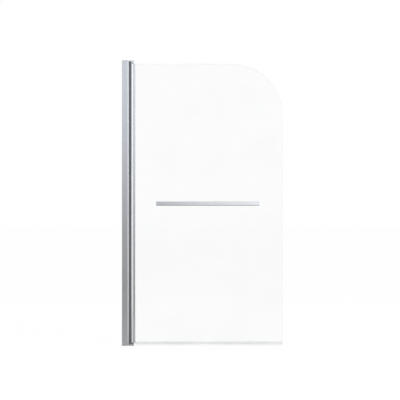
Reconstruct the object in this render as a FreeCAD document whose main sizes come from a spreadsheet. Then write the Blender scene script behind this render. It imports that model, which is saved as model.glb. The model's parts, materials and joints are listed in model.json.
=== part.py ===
import FreeCAD, Part
import os
import re
import Sketcher

# Pivot bath screen: a wall channel fixed to the tiles, a hinge post that slides in it to take up
# an uneven wall, and a glass panel that swings both ways about a vertical axis at the post's nose.
#
# Frame, in millimetres: x = 0 is the wall, +X runs out from the wall along the closed glass,
# y = 0 is the middle of the glass, -Y is the room side with the towel rail, +Y is the bath side
# with the screws and bolt heads, z = 0 is the underside that faces the bath rim, +Z is up.

# Driving dimensions: alias in the sheet and plain value.
DRIVING = (
    # the whole screen, at rest with the post in its middle setting
    ("screen_height", 1400.0),  # underside of the bottom cap to the top of the top cap
    ("screen_reach", 788.0),  # wall to the glass's free edge
    ("adjust_in", 4.0),  # travel of the post towards the wall
    ("adjust_out", 12.0),  # travel of the post away from the wall
    # wall channel
    ("wall_depth", 29.0),
    ("wall_width", 27.0),
    ("wall_leg", 1.5),
    ("wall_web", 2.0),
    ("wall_corner", 1.0),  # chamfer of the outer corners
    ("wall_cap", 2.0),  # thickness of the end caps
    ("wall_hole", 5.5),  # diameter of the wall fixing holes
    ("wall_hole_pitch", 400.0),
    ("wall_hole_count", 4),
    ("web_port_y", 6.5),  # screw port's centre, from the middle
    # screw ports, alike in both extrusions
    ("port_bore", 3.4),
    ("port_wall", 1.1),
    ("port_offset", 2.3),  # port's centre from the wall that it grows on
    ("port_mouth", 1.6),  # slit along the port
    ("peg_length", 10.0),  # end cap's pegs in the ports
    ("peg_rib", 1.0),
    ("peg_clearance", 0.05),
    # hinge post
    ("slide_clearance", 0.3),  # post to wall channel, each side
    ("tail_gap", 0.5),  # post to the channel's web, pushed right in
    ("post_reveal", 0.8),  # post in front of the wall channel, pushed right in
    ("post_wall", 1.6),
    ("post_corner", 1.5),
    # slot in the post's front for the seal's foot
    ("foot_slot_depth", 2.4),
    ("foot_slot_width", 8.0),
    ("foot_slot_wall", 1.2),
    ("foot_slot_mouth", 4.0),
    ("foot_clearance", 0.15),
    # hinge blocks
    ("axis_standoff", 16.8),  # pivot axis in front of the post
    ("top_block", 6.0),
    ("bottom_block", 9.0),
    ("boss_radius", 8.7),
    ("block_gap", 0.3),  # block to the wall channel's cap
    ("block_edge", 0.6),  # chamfer round the outer face
    ("spigot_length", 8.0),
    ("spigot_clearance", 0.15),
    ("pin_diameter", 5.0),
    ("pin_cover", 1.5),  # block left over the pin's blind hole
    ("pin_overrun", 1.0),  # pin past the bush
    ("fixed_fit", 0.01),  # radial clearance of pressed and screwed pieces
    ("pivot_fit", 0.05),  # radial clearance of the pin in the bush
    ("thrust_gap", 0.3),  # boss to the bush's flange
    ("block_screw_head", 6.8),
    ("block_screw_length", 16.0),
    # bushes
    ("bush_bore_wall", 1.4),
    ("bush_length", 25.0),
    ("top_flange", 1.5),
    ("top_flange_radius", 5.7),
    ("bottom_flange", 3.5),
    ("bottom_flange_radius", 8.0),
    # glass profile: barrel round the axis and channel for the glass
    ("glass_drop", 17.0),  # glass below the top of the screen
    ("glass_lift", 14.0),  # glass above the underside
    ("barrel_wall", 1.8),
    ("channel_standoff", 5.5),  # channel's back in front of the axis
    ("channel_depth", 8.9),
    ("channel_wall", 1.8),
    ("channel_corner", 0.8),
    # hinge seal between the post and the barrel
    ("seal_gap", 0.3),
    ("seal_back_gap", 0.1),
    ("seal_half_width", 7.6),
    ("seal_lip", 1.2),
    ("seal_lip_angle", 35.0),  # how far the lips wrap the barrel, in degrees
    ("seal_skin", 1.8),
    ("seal_hollow_half", 3.6),
    # glass
    ("glass_thickness", 6.0),
    ("glass_corner", 250.0),  # free top corner
    ("glass_foot_corner", 3.0),  # free bottom corner
    ("glass_arris", 0.5),  # ground edge
    ("gasket_wall", 1.5),
    ("gasket_floor", 1.0),
    ("gasket_lip", 0.6),  # gasket past the channel's mouth
    # wipe seal under the glass
    ("wipe_grip", 0.1),  # clearance to the glass
    ("wipe_wall", 1.2),
    ("wipe_leg_top", 21.0),
    ("wipe_bulb_bottom", 9.6),
    ("wipe_end_gap", 0.2),
    ("fin_thickness", 0.8),
    ("fin_spread", 3.0),  # fin's tip outside its root
    ("fin_tip", 0.9),  # fin's tip above the bath rim
    # towel rail
    ("rail_length", 505.0),
    ("rail_height", 21.0),
    ("rail_depth", 10.0),
    ("rail_wall", 1.5),
    ("rail_corner", 1.0),
    ("rail_plug", 9.0),
    ("rail_plug_clearance", 0.1),
    ("rail_x", 421.0),  # rail's middle from the wall
    ("rail_z", 698.0),
    ("rail_gap", 30.0),  # glass to the back of the rail
    ("rail_overhang", 32.5),  # rail's end past each fixing
    ("standoff_radius", 8.0),
    ("glass_hole", 12.0),
    ("sleeve_clearance", 0.1),
    ("bolt_diameter", 6.0),
    ("bolt_clearance", 0.2),  # radial, where the bolt passes through
    ("bolt_end", 0.7),  # bolt past its nut
    ("grommet_flange", 1.0),
    ("bolt_head_radius", 9.0),
    ("bolt_head_height", 8.0),
    ("bolt_head_chamfer", 1.0),
    ("nut_flats", 10.0),
    ("nut_height", 5.0),
    # lock screws that hold the post in the wall channel
    ("lock_pitch", 500.0),
    ("lock_count", 3),
    ("lock_diameter", 4.0),
    ("lock_slot_clearance", 0.3),
    ("lock_setback", 2.1),  # slot's inner end from the channel's web
    ("lock_overrun", 0.5),  # screw past the post's wall
    ("lock_head_radius", 3.8),
    ("lock_head_height", 2.5),
    ("washer_gap", 0.1),  # washer head off the channel's face, so that the post slides
    ("washer_thickness", 1.0),
    ("washer_radius", 5.2),
    ("cap_skin", 1.0),
    ("cap_fit", 0.05),
    ("cap_headroom", 0.3),
)

# Sizes and places that follow from the driving dimensions.
WORKED_OUT = {
    "wall_half": "wall_width/2",
    "wall_inside": "wall_half - wall_leg",
    "wall_length": "screen_height - 2*wall_cap",
    "first_wall_hole": "(screen_height - wall_hole_pitch*(wall_hole_count - 1))/2",
    "port_radius": "port_bore/2 + port_wall",
    "peg_radius": "port_bore/2 - peg_clearance",
    "web_port_x": "wall_web + port_offset",
    "post_half": "wall_inside - slide_clearance",
    "post_inside": "post_half - post_wall",
    "post_tail": "wall_web + adjust_in + tail_gap",
    "post_front": "wall_depth + adjust_in + post_reveal",
    "post_length": "screen_height - top_block - bottom_block",
    "foot_slot_front": "post_front - post_wall",
    "foot_slot_back": "foot_slot_front - foot_slot_depth",
    "housing_back": "foot_slot_back - foot_slot_wall",
    "post_port_x": "housing_back - port_offset",
    "axis_x": "post_front + axis_standoff",
    "block_tail": "web_port_x + port_radius + adjust_in + slide_clearance",
    "head_start": "wall_depth + adjust_in + post_reveal/2",
    "head_reach": "axis_x - head_start",
    "nose_lean": "atan2(post_half; head_reach) - 90 deg"
                 " + acos(boss_radius/sqrt(head_reach^2 + post_half^2))",
    "pin_hole": "pin_diameter/2 + fixed_fit",
    "bush_bore": "pin_diameter/2 + pivot_fit",
    "bush_radius": "bush_bore + bush_bore_wall",
    "barrel_bore": "bush_radius + fixed_fit",
    "barrel_radius": "barrel_bore + barrel_wall",
    "channel_start": "axis_x + channel_standoff",
    "channel_end": "channel_start + channel_depth",
    "channel_floor": "channel_start + channel_wall",
    "channel_inside": "glass_thickness/2 + gasket_wall",
    "channel_half": "channel_inside + channel_wall",
    "glass_height": "screen_height - glass_drop - glass_lift",
    "glass_start": "channel_floor + gasket_floor",
    "glass_top": "screen_height - glass_drop",
    "seal_back": "post_front + seal_back_gap",
    "seal_radius": "barrel_radius + seal_gap",
    "seal_notch": "boss_radius + seal_gap",
    "wipe_start": "channel_end + gasket_lip + wipe_end_gap",
    "wipe_inside": "glass_thickness/2 + wipe_grip",
    "wipe_half": "wipe_inside + wipe_wall",
    "wipe_roof": "glass_lift - wipe_grip",
    "rail_pitch": "rail_length - 2*rail_overhang",
    "rail_back": "glass_thickness/2 + rail_gap",
    "rail_end": "rail_length/2 - rail_wall",
    "bolt_hole": "bolt_diameter/2 + bolt_clearance",
    "grommet_face": "glass_thickness/2 + grommet_flange",
    "nut_seat": "rail_back + rail_wall",
    "lock_slot_half": "lock_diameter/2 + lock_slot_clearance",
    "lock_x": "wall_web + lock_setback + lock_slot_half + adjust_in",
    "first_lock": "(screen_height - lock_pitch*(lock_count - 1))/2",
    "washer_seat": "wall_half + washer_gap",
    "lock_head_seat": "washer_seat + washer_thickness",
    "cap_inside": "washer_radius + cap_fit",
}

# The two ends of the hinge: z of the post's end, the block's own height, the distance from the
# screen's end to the glass, and the bush's flange. A bottom piece is a top piece turned over.
ENDS = {
    "top": {
        "flip": False,
        "post_end": "screen_height - top_block",
        "glass_end": "screen_height - glass_drop",
        "height": "top_block",
        "drop": "glass_drop - top_block",
        "flange": "top_flange",
        "flange_radius": "top_flange_radius",
    },
    "bottom": {
        "flip": True,
        "post_end": "bottom_block",
        "glass_end": "glass_lift",
        "height": "bottom_block",
        "drop": "glass_lift - bottom_block",
        "flange": "bottom_flange",
        "flange_radius": "bottom_flange_radius",
    },
}

doc = FreeCAD.newDocument("bath_screen")
sizes = doc.addObject("Spreadsheet::Sheet", "sizes")
for row, (alias, value) in enumerate(DRIVING, start=1):
    sizes.set("A%d" % row, str(value))
    sizes.setAlias("A%d" % row, alias)
doc.recompute()

ALIASES = [alias for alias, value in DRIVING]
PIECES = []


def formula(text):
    """Spell a formula out in cells of the sheet."""
    def spell(match):
        word = match.group(0)
        if word in WORKED_OUT:
            return "(" + formula(WORKED_OUT[word]) + ")"
        return "sizes." + word if word in ALIASES else word
    return re.sub(r"[a-z_][a-z_0-9]*", spell, text)


def number(text):
    """Value of a formula, for a sketch's first guess and for finding faces."""
    return float(sizes.evalExpression(formula(text)))


# --- bodies, sketches and features -------------------------------------------------------------

def new_body(label, x="0", y="0", z="0", flip=False):
    """Sub-part with its placement tied to the sheet; flip turns it over about its own X axis."""
    body = doc.addObject("PartDesign::Body", label)
    body.Label = label
    if flip:
        body.Placement.Rotation = FreeCAD.Rotation(FreeCAD.Vector(1, 0, 0), 180)
    for axis, distance in zip("xyz", (x, y, z)):
        body.setExpression("Placement.Base." + axis, formula(distance))
    PIECES.append(body)
    return body


def origin_item(body, role):
    """One of the body's own planes or axes."""
    return [item for item in body.Origin.OriginFeatures if item.Role == role][0]


def tie(sketch, kind, places, text):
    """Constraint whose value is a formula."""
    index = sketch.addConstraint(Sketcher.Constraint(kind, *places, number(text)))
    sketch.setExpression("Constraints[%d]" % index, formula(text))


def add_circle(sketch, x, y, radius):
    centre = FreeCAD.Vector(number(x), number(y), 0)
    edge = sketch.addGeometry(Part.Circle(centre, FreeCAD.Vector(0, 0, 1), number(radius)), False)
    tie(sketch, "DistanceX", (-1, 1, edge, 3), x)
    tie(sketch, "DistanceY", (-1, 1, edge, 3), y)
    tie(sketch, "Radius", (edge,), radius)


def arc_between(start, end, radius, turn):
    """The shorter arc from start to end, anticlockwise where turn is 1."""
    chord = end - start
    side = FreeCAD.Vector(-chord.y, chord.x, 0) * turn
    side.normalize()
    depth = max(radius ** 2 - (chord.Length / 2) ** 2, 0) ** 0.5
    circle = Part.Circle((start + end) * 0.5 + side * depth, FreeCAD.Vector(0, 0, 1), radius)
    first, last = (start, end) if turn == 1 else (end, start)
    return Part.ArcOfCircle(circle, circle.parameter(first), circle.parameter(last))


def add_outline(sketch, corners):
    """Closed outline through corners (x, y); a third entry is the radius of an arc that runs to
    the next corner, anticlockwise unless a fourth entry is -1."""
    spots = [FreeCAD.Vector(number(corner[0]), number(corner[1]), 0) for corner in corners]
    edges = []
    for corner, start, end in zip(corners, spots, spots[1:] + spots[:1]):
        turn = corner[3] if len(corner) > 3 else 1
        if len(corner) > 2:
            curve = arc_between(start, end, number(corner[2]), turn)
        else:
            curve = Part.LineSegment(start, end)
        edges.append((sketch.addGeometry(curve, False), 1 if turn == 1 else 2))
    for (edge, tip), (following, tail) in zip(edges, edges[1:] + edges[:1]):
        sketch.addConstraint(Sketcher.Constraint("Coincident", edge, 3 - tip, following, tail))
    for corner, (edge, tip) in zip(corners, edges):
        tie(sketch, "DistanceX", (-1, 1, edge, tip), corner[0])
        tie(sketch, "DistanceY", (-1, 1, edge, tip), corner[1])
        if len(corner) > 2:
            tie(sketch, "Radius", (edge,), corner[2])


def draw(body, name, plane, loops, offset=("0", "0", "0")):
    """Sketch on one of the body's planes, moved by an offset along the sketch's own axes.
    A loop is a tuple (x, y, radius) for a circle, or a list of corners for an outline."""
    sketch = body.newObject("Sketcher::SketchObject", name)
    sketch.AttachmentSupport = [(origin_item(body, plane), "")]
    sketch.MapMode = "FlatFace"
    for axis, distance in zip("xyz", offset):
        sketch.setExpression("AttachmentOffset.Base." + axis, formula(distance))
    for loop in loops:
        if isinstance(loop, tuple):
            add_circle(sketch, *loop)
        else:
            add_outline(sketch, loop)
    return sketch


def extrude(body, kind, name, sketch, length, back=False):
    feature = body.newObject("PartDesign::" + kind, name)
    feature.Profile = sketch
    feature.setExpression("Length", formula(length))
    feature.Reversed = back
    return feature


def revolve(body, kind, name, sketch):
    feature = body.newObject("PartDesign::" + kind, name)
    feature.Profile = sketch
    feature.ReferenceAxis = (sketch, ["V_Axis"])
    feature.Angle = 360
    return feature


def repeat(body, name, features, axis, pitch, count="2"):
    """Copies of features, a pitch apart along one of the body's axes."""
    pattern = body.newObject("PartDesign::LinearPattern", name)
    pattern.Originals = features
    pattern.Direction = (origin_item(body, axis), [""])
    pattern.Mode = "Spacing"
    pattern.setExpression("Offset", formula(pitch))
    pattern.setExpression("Occurrences", formula(count))
    body.Tip = pattern
    return pattern


def mirror(body, name, features, plane):
    """Mirror image of features in one of the body's planes."""
    image = body.newObject("PartDesign::Mirrored", name)
    image.Originals = features
    image.MirrorPlane = (origin_item(body, plane), [""])
    body.Tip = image
    return image


def chamfer_faces(body, name, base, size, normals):
    """Chamfer round the last feature's outermost flat face towards each normal."""
    doc.recompute()
    names = []
    for normal in normals:
        flat = [(face.CenterOfMass.dot(normal), "Face%d" % index)
                for index, face in enumerate(base.Shape.Faces, start=1)
                if isinstance(face.Surface, Part.Plane) and face.normalAt(0, 0).dot(normal) > 0.999]
        names.append(max(flat)[1])
    feature = body.newObject("PartDesign::Chamfer", name)
    feature.Base = (base, names)
    feature.setExpression("Size", formula(size))
    return feature


# --- outlines ----------------------------------------------------------------------------------

def box(x_low, y_low, x_high, y_high):
    return [(x_low, y_low), (x_high, y_low), (x_high, y_high), (x_low, y_high)]


def chamfered_box(x_low, y_low, x_high, y_high, corner):
    return [
        (f"{x_low} + {corner}", y_low),
        (f"{x_high} - {corner}", y_low),
        (x_high, f"{y_low} + {corner}"),
        (x_high, f"{y_high} - {corner}"),
        (f"{x_high} - {corner}", y_high),
        (f"{x_low} + {corner}", y_high),
        (x_low, f"{y_high} - {corner}"),
        (x_low, f"{y_low} + {corner}"),
    ]


def slot(x_low, x_high, y, radius):
    """Slot with round ends, along x between its end centres."""
    return [
        (x_low, f"{y} - {radius}"),
        (x_high, f"{y} - {radius}", radius),
        (f"{x_high} + {radius}", y, radius),
        (x_high, f"{y} + {radius}"),
        (x_low, f"{y} + {radius}", radius),
        (f"{x_low} - {radius}", y, radius),
    ]


def both_sides(corners, across="y"):
    """Close an outline, drawn anticlockwise on one side of an axis, with its mirror image."""
    image = []
    for index in range(len(corners) - 1, -1, -1):
        x, y = corners[index][:2]
        spot = (x, f"-({y})") if across == "y" else (f"-({x})", y)
        arc = corners[index - 1][2:] if index else ()
        image.append(spot + arc)
    return corners + image


def turned(body, name, profile, plane="XZ_Plane"):
    """Turned piece from corners (radius, distance along the axis)."""
    return revolve(body, "Revolution", name, draw(body, name + "_section", plane, [profile]))


def tube(inner, outer, low, high):
    """Section of a plain tube."""
    return [(inner, low), (outer, low), (outer, high), (inner, high)]


# --- wall channel ------------------------------------------------------------------------------

def add_ports(body, name, x, across, away, length):
    """Screw ports along an extrusion, at x and each of across: a square rib with a round bore
    and a slit on the side that faces away from its wall, +1 or -1 along x."""
    ribs = [box(f"{x} - port_radius", f"{y} - port_radius",
                f"{x} + port_radius", f"{y} + port_radius") for y in across]
    extrude(body, "Pad", name, draw(body, name + "_ribs", "XY_Plane", ribs), length)
    bores = draw(body, name + "_bores", "XY_Plane", [(x, y, "port_bore/2") for y in across])
    extrude(body, "Pocket", name + "_bore", bores, length, back=True)
    ends = sorted((x, f"{x} + {away}*(port_radius + port_wall)"), key=number)
    slits = [box(ends[0], f"{y} - port_mouth/2", ends[1], f"{y} + port_mouth/2") for y in across]
    slit_sketch = draw(body, name + "_slits", "XY_Plane", slits)
    return extrude(body, "Pocket", name + "_slit", slit_sketch, length, back=True)


def wall_profile():
    """U extrusion, open away from the wall, with screw ports on its web for the end caps."""
    body = new_body("wall_profile", z="wall_cap")
    section = draw(body, "wall_section", "XY_Plane", [both_sides([
        ("wall_web", "-wall_inside"),
        ("wall_depth", "-wall_inside"),
        ("wall_depth", "-wall_half + wall_corner"),
        ("wall_depth - wall_corner", "-wall_half"),
        ("wall_corner", "-wall_half"),
        ("0", "-wall_half + wall_corner"),
    ])])
    extrude(body, "Pad", "wall_channel", section, "wall_length")
    add_ports(body, "web_port", "web_port_x", ("-web_port_y", "web_port_y"), 1, "wall_length")
    hole = draw(body, "wall_hole_circle", "YZ_Plane",
                [("0", "first_wall_hole - wall_cap", "wall_hole/2")])
    first = extrude(body, "Pocket", "first_hole", hole, "wall_web", back=True)
    repeat(body, "wall_holes", [first], "Z_Axis", "wall_hole_pitch", "wall_hole_count")
    opening = draw(body, "lock_slot_outline", "XZ_Plane", [slot(
        "lock_x - adjust_in", "lock_x + adjust_out", "first_lock - wall_cap", "lock_slot_half")],
        offset=("0", "0", "-wall_inside"))
    cut = extrude(body, "Pocket", "first_lock_slot", opening, "wall_leg")
    repeat(body, "lock_slots", [cut], "Z_Axis", "lock_pitch", "lock_count")
    return body


def wall_end_cap(end):
    """Flat cover over the wall channel's end, with two cross-shaped pegs in the screw ports."""
    flip = ENDS[end]["flip"]
    outer_face = "wall_cap" if flip else "screen_height - wall_cap"
    body = new_body("wall_%s_cap" % end, z=outer_face, flip=flip)
    cover = draw(body, end + "_cover", "XY_Plane", [
        chamfered_box("0", "-wall_half", "wall_depth", "wall_half", "wall_corner")])
    extrude(body, "Pad", end + "_plate", cover, "wall_cap")
    long = "sqrt(peg_radius^2 - peg_rib^2/4)"
    for name, across, along in (("_pegs", "peg_rib/2", long), ("_peg_ribs", long, "peg_rib/2")):
        pegs = draw(body, end + name + "_outline", "XY_Plane", [box(
            f"web_port_x - {across}", f"{side} - {along}",
            f"web_port_x + {across}", f"{side} + {along}")
            for side in ("-web_port_y", "web_port_y")])
        extrude(body, "Pad", end + name, pegs, "peg_length", back=True)
    return body


# --- hinge post --------------------------------------------------------------------------------

def pivot_post():
    """U extrusion that slides in the wall channel, with a slot in its front for the seal and a
    screw port for the hinge blocks."""
    body = new_body("pivot_post", z="bottom_block")
    section = draw(body, "post_section", "XY_Plane", [both_sides([
        ("foot_slot_front", "-post_inside"),
        ("post_tail", "-post_inside"),
        ("post_tail", "-post_half"),
        ("post_front - post_corner", "-post_half"),
        ("post_front", "-post_half + post_corner"),
    ])])
    extrude(body, "Pad", "post_channel", section, "post_length")
    slot_half = "foot_slot_width/2 + foot_slot_wall"
    housing = draw(body, "foot_housing_outline", "XY_Plane", [box(
        "housing_back", f"-({slot_half})", "foot_slot_front", slot_half)])
    extrude(body, "Pad", "foot_housing", housing, "post_length")
    tee = draw(body, "foot_slot_outline", "XY_Plane", [both_sides([
        ("foot_slot_back", "-foot_slot_width/2"),
        ("foot_slot_front", "-foot_slot_width/2"),
        ("foot_slot_front", "-foot_slot_mouth/2"),
        ("post_front", "-foot_slot_mouth/2"),
    ])])
    extrude(body, "Pocket", "foot_slot", tee, "post_length", back=True)
    add_ports(body, "post_port", "post_port_x", ("0",), -1, "post_length")
    hole = draw(body, "lock_hole_circle", "XZ_Plane",
                [("lock_x", "first_lock - bottom_block", "lock_diameter/2 + fixed_fit")],
                offset=("0", "0", "-post_inside"))
    first = extrude(body, "Pocket", "first_lock_hole", hole, "post_wall")
    repeat(body, "lock_holes", [first], "Z_Axis", "lock_pitch", "lock_count")
    return body


def countersunk_section(head_face, way):
    """Half section of a countersunk screw whose flat head lies at head_face and whose shaft
    points along way, +1 or -1, in the section's own upright direction."""
    tip = f"{head_face} + ({way})*block_screw_length"
    return [
        ("0", head_face),
        ("block_screw_head/2", head_face),
        ("peg_radius", f"{head_face} + ({way})*(block_screw_head/2 - peg_radius)"),
        ("peg_radius", tip),
        ("0", tip),
    ]


def hinge_block(end):
    """Cast block on the post's end: a plate under the wall channel's cap, a spigot inside the
    post, a head that tapers to a round nose, and a boss that holds the pivot pin."""
    size = ENDS[end]
    height = size["height"]
    body = new_body(end + "_hinge_block", z=size["post_end"], flip=size["flip"])
    plate = draw(body, end + "_block_plate_outline", "XY_Plane",
                 [box("block_tail", "-post_half", "head_start", "post_half")])
    extrude(body, "Pad", end + "_block_plate", plate, f"{height} - wall_cap - block_gap")
    head = draw(body, end + "_block_head_outline", "XY_Plane", [both_sides([
        ("head_start", "-post_half"),
        ("axis_x + boss_radius*sin(nose_lean)", "-boss_radius*cos(nose_lean)", "boss_radius"),
    ])])
    head_pad = extrude(body, "Pad", end + "_block_head", head, height)
    chamfer_faces(body, end + "_block_edge", head_pad, "block_edge", [FreeCAD.Vector(0, 0, 1)])
    room = "post_inside - spigot_clearance"
    spigot = draw(body, end + "_spigot_outline", "XY_Plane", [box(
        "block_tail", f"-({room})", "post_port_x - port_radius - spigot_clearance", room)])
    extrude(body, "Pad", end + "_spigot", spigot, "spigot_length", back=True)
    boss = draw(body, end + "_boss_circle", "XY_Plane", [("axis_x", "0", "boss_radius")])
    extrude(body, "Pad", end + "_boss", boss,
            f"{size['drop']} - {size['flange']} - thrust_gap", back=True)
    bore = draw(body, end + "_pin_hole_circle", "XY_Plane", [("axis_x", "0", "pin_hole")],
                offset=("0", "0", f"{height} - pin_cover"))
    extrude(body, "Pocket", end + "_pin_hole", bore, size["drop"] + f" + {height}")
    plate_top = f"{height} - wall_cap - block_gap"
    seat = draw(body, end + "_screw_seat_section", "XZ_Plane", [[
        ("0", plate_top),
        ("block_screw_head/2 + fixed_fit", plate_top),
        ("port_bore/2", f"{plate_top} - block_screw_head/2 + peg_radius"),
        ("port_bore/2", "0"),
        ("0", "0"),
    ]], offset=("post_port_x", "0", "0"))
    revolve(body, "Groove", end + "_screw_seat", seat)
    return body


def pivot_pin(end):
    """Plain pin, pressed into the block and running in the bush."""
    size = ENDS[end]
    body = new_body(end + "_pivot_pin", x="axis_x", z=size["post_end"], flip=size["flip"])
    circle = draw(body, end + "_pin_circle", "XY_Plane", [("0", "0", "pin_diameter/2")],
                  offset=("0", "0", f"{size['height']} - pin_cover"))
    extrude(body, "Pad", end + "_pin", circle,
            f"{size['height']} - pin_cover + ({size['drop']}) + bush_length + pin_overrun",
            back=True)
    return body


def hinge_block_screws():
    """One countersunk screw through each hinge block into the post's port."""
    body = new_body("hinge_block_screws", x="post_port_x")
    turned(body, "top_block_screw",
           countersunk_section("(screen_height - wall_cap - block_gap)", "-1"))
    turned(body, "bottom_block_screw", countersunk_section("(wall_cap + block_gap)", "1"))
    return body


def hinge_seal():
    """Soft strip with its foot in the post's slot and its hollow face round the barrel, cut back
    round the bosses at both ends."""
    body = new_body("hinge_seal", z="bottom_block")
    strip = both_sides([
        ("foot_slot_back + foot_clearance", "-foot_slot_width/2 + foot_clearance"),
        ("foot_slot_front - foot_clearance", "-foot_slot_width/2 + foot_clearance"),
        ("foot_slot_front - foot_clearance", "-foot_slot_mouth/2 + foot_clearance"),
        ("seal_back", "-foot_slot_mouth/2 + foot_clearance"),
        ("seal_back", "-seal_half_width"),
        ("axis_x - (seal_radius + seal_lip)*cos(seal_lip_angle)",
         "-(seal_radius + seal_lip)*sin(seal_lip_angle)"),
        ("axis_x - seal_radius*cos(seal_lip_angle)", "-seal_radius*sin(seal_lip_angle)",
         "seal_radius", -1),
    ])
    hollow = box("seal_back + seal_skin", "-seal_hollow_half",
                 "axis_x - seal_notch - seal_skin", "seal_hollow_half")
    section = draw(body, "seal_section", "XY_Plane", [strip, hollow])
    extrude(body, "Pad", "seal_strip", section, "post_length")
    for end, start, back in (("top", "post_length", False), ("bottom", "0", True)):
        notch = draw(body, end + "_notch_circle", "XY_Plane", [("axis_x", "0", "seal_notch")],
                     offset=("0", "0", start))
        extrude(body, "Pocket", end + "_notch", notch, ENDS[end]["drop"], back=back)
    return body


def lock_screws():
    """Screws with washer heads, through the wall channel's slots into the post."""
    body = new_body("lock_screws", x="lock_x", z="first_lock")
    end = "(post_inside - lock_overrun)"
    screw = turned(body, "lock_screw", [
        ("0", end),
        ("lock_diameter/2", end),
        ("lock_diameter/2", "washer_seat"),
        ("washer_radius", "washer_seat"),
        ("washer_radius", "lock_head_seat"),
        ("lock_head_radius", "lock_head_seat"),
        ("lock_head_radius", "lock_head_seat + lock_head_height"),
        ("0", "lock_head_seat + lock_head_height"),
    ], plane="XY_Plane")
    repeat(body, "lock_screw_row", [screw], "Z_Axis", "lock_pitch", "lock_count")
    return body


def lock_screw_caps():
    """Snap caps over the lock screws' heads."""
    body = new_body("lock_screw_caps", x="lock_x", z="first_lock")
    roof = "lock_head_seat + lock_head_height + cap_headroom"
    cap = turned(body, "lock_cap", [
        ("cap_inside", "washer_seat"),
        ("cap_inside + cap_skin", "washer_seat"),
        ("cap_inside + cap_skin", f"{roof} + cap_skin"),
        ("0", f"{roof} + cap_skin"),
        ("0", roof),
        ("cap_inside", roof),
    ], plane="XY_Plane")
    repeat(body, "lock_cap_row", [cap], "Z_Axis", "lock_pitch", "lock_count")
    return body


# --- glass door --------------------------------------------------------------------------------

def glass_profile():
    """Extrusion with a barrel round the pivot axis and a channel that holds the glass."""
    body = new_body("glass_profile", z="glass_lift")
    channel = draw(body, "channel_outline", "XY_Plane", [
        chamfered_box("channel_start", "-channel_half", "channel_end", "channel_half",
                      "channel_corner")])
    extrude(body, "Pad", "channel", channel, "glass_height")
    barrel = draw(body, "barrel_circle", "XY_Plane", [("axis_x", "0", "barrel_radius")])
    extrude(body, "Pad", "barrel", barrel, "glass_height")
    hollow = draw(body, "channel_hollow_outline", "XY_Plane", [
        box("channel_floor", "-channel_inside", "channel_end", "channel_inside")])
    extrude(body, "Pocket", "channel_hollow", hollow, "glass_height", back=True)
    bore = draw(body, "barrel_bore_circle", "XY_Plane", [("axis_x", "0", "barrel_bore")])
    extrude(body, "Pocket", "barrel_hollow", bore, "glass_height", back=True)
    return body


def pivot_bush(end):
    """Flanged bush in the barrel's end; the bottom one's thick flange carries the door."""
    size = ENDS[end]
    body = new_body(end + "_pivot_bush", x="axis_x", z=size["glass_end"], flip=size["flip"])
    turned(body, end + "_bush", [
        ("bush_bore", "-bush_length"),
        ("bush_radius", "-bush_length"),
        ("bush_radius", "0"),
        (size["flange_radius"], "0"),
        (size["flange_radius"], size["flange"]),
        ("bush_bore", size["flange"]),
    ])
    return body


def glass_gasket():
    """U strip between the glass and its channel."""
    body = new_body("glass_gasket", z="glass_lift")
    section = draw(body, "gasket_section", "XY_Plane", [both_sides([
        ("glass_start", "-glass_thickness/2"),
        ("channel_end + gasket_lip", "-glass_thickness/2"),
        ("channel_end + gasket_lip", "-channel_inside"),
        ("channel_floor", "-channel_inside"),
    ])])
    extrude(body, "Pad", "gasket_strip", section, "glass_height")
    return body


def glass_panel():
    """Toughened pane with one large rounded corner and two holes for the towel rail."""
    body = new_body("glass_panel")
    outline = [
        ("glass_start", "glass_lift"),
        ("screen_reach - glass_foot_corner", "glass_lift", "glass_foot_corner"),
        ("screen_reach", "glass_lift + glass_foot_corner"),
        ("screen_reach", "glass_top - glass_corner", "glass_corner"),
        ("screen_reach - glass_corner", "glass_top"),
        ("glass_start", "glass_top"),
    ]
    back_face = ("0", "0", "-glass_thickness/2")
    sketch = draw(body, "pane_outline", "XZ_Plane", [outline], offset=back_face)
    pane = extrude(body, "Pad", "pane", sketch, "glass_thickness")
    chamfer_faces(body, "pane_arris", pane, "glass_arris",
                  [FreeCAD.Vector(0, -1, 0), FreeCAD.Vector(0, 1, 0)])
    holes = [(f"rail_x {side} rail_pitch/2", "rail_z", "glass_hole/2") for side in "-+"]
    circles = draw(body, "rail_hole_circles", "XZ_Plane", holes, offset=back_face)
    extrude(body, "Pocket", "pane_holes", circles, "glass_thickness", back=True)
    return body


def bottom_seal():
    """Clear strip that grips the glass's lower edge, with a hollow bulb and two wiping fins."""
    body = new_body("bottom_seal", x="wipe_start")
    root = "(wipe_bulb_bottom + wipe_wall)"
    strip = both_sides([
        ("wipe_half - fin_thickness", "wipe_bulb_bottom"),
        ("wipe_half - fin_thickness + fin_spread", "fin_tip"),
        ("wipe_half + fin_spread", "fin_tip"),
        ("wipe_half", root),
        ("wipe_half", "wipe_leg_top"),
        ("wipe_inside", "wipe_leg_top"),
        ("wipe_inside", "wipe_roof"),
    ], across="x")
    bulb = box("-wipe_inside", root, "wipe_inside", "wipe_roof - wipe_wall")
    section = draw(body, "wipe_section", "YZ_Plane", [strip, bulb])
    extrude(body, "Pad", "wipe_strip", section, "screen_reach - wipe_start")
    return body


# --- towel rail --------------------------------------------------------------------------------

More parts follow.
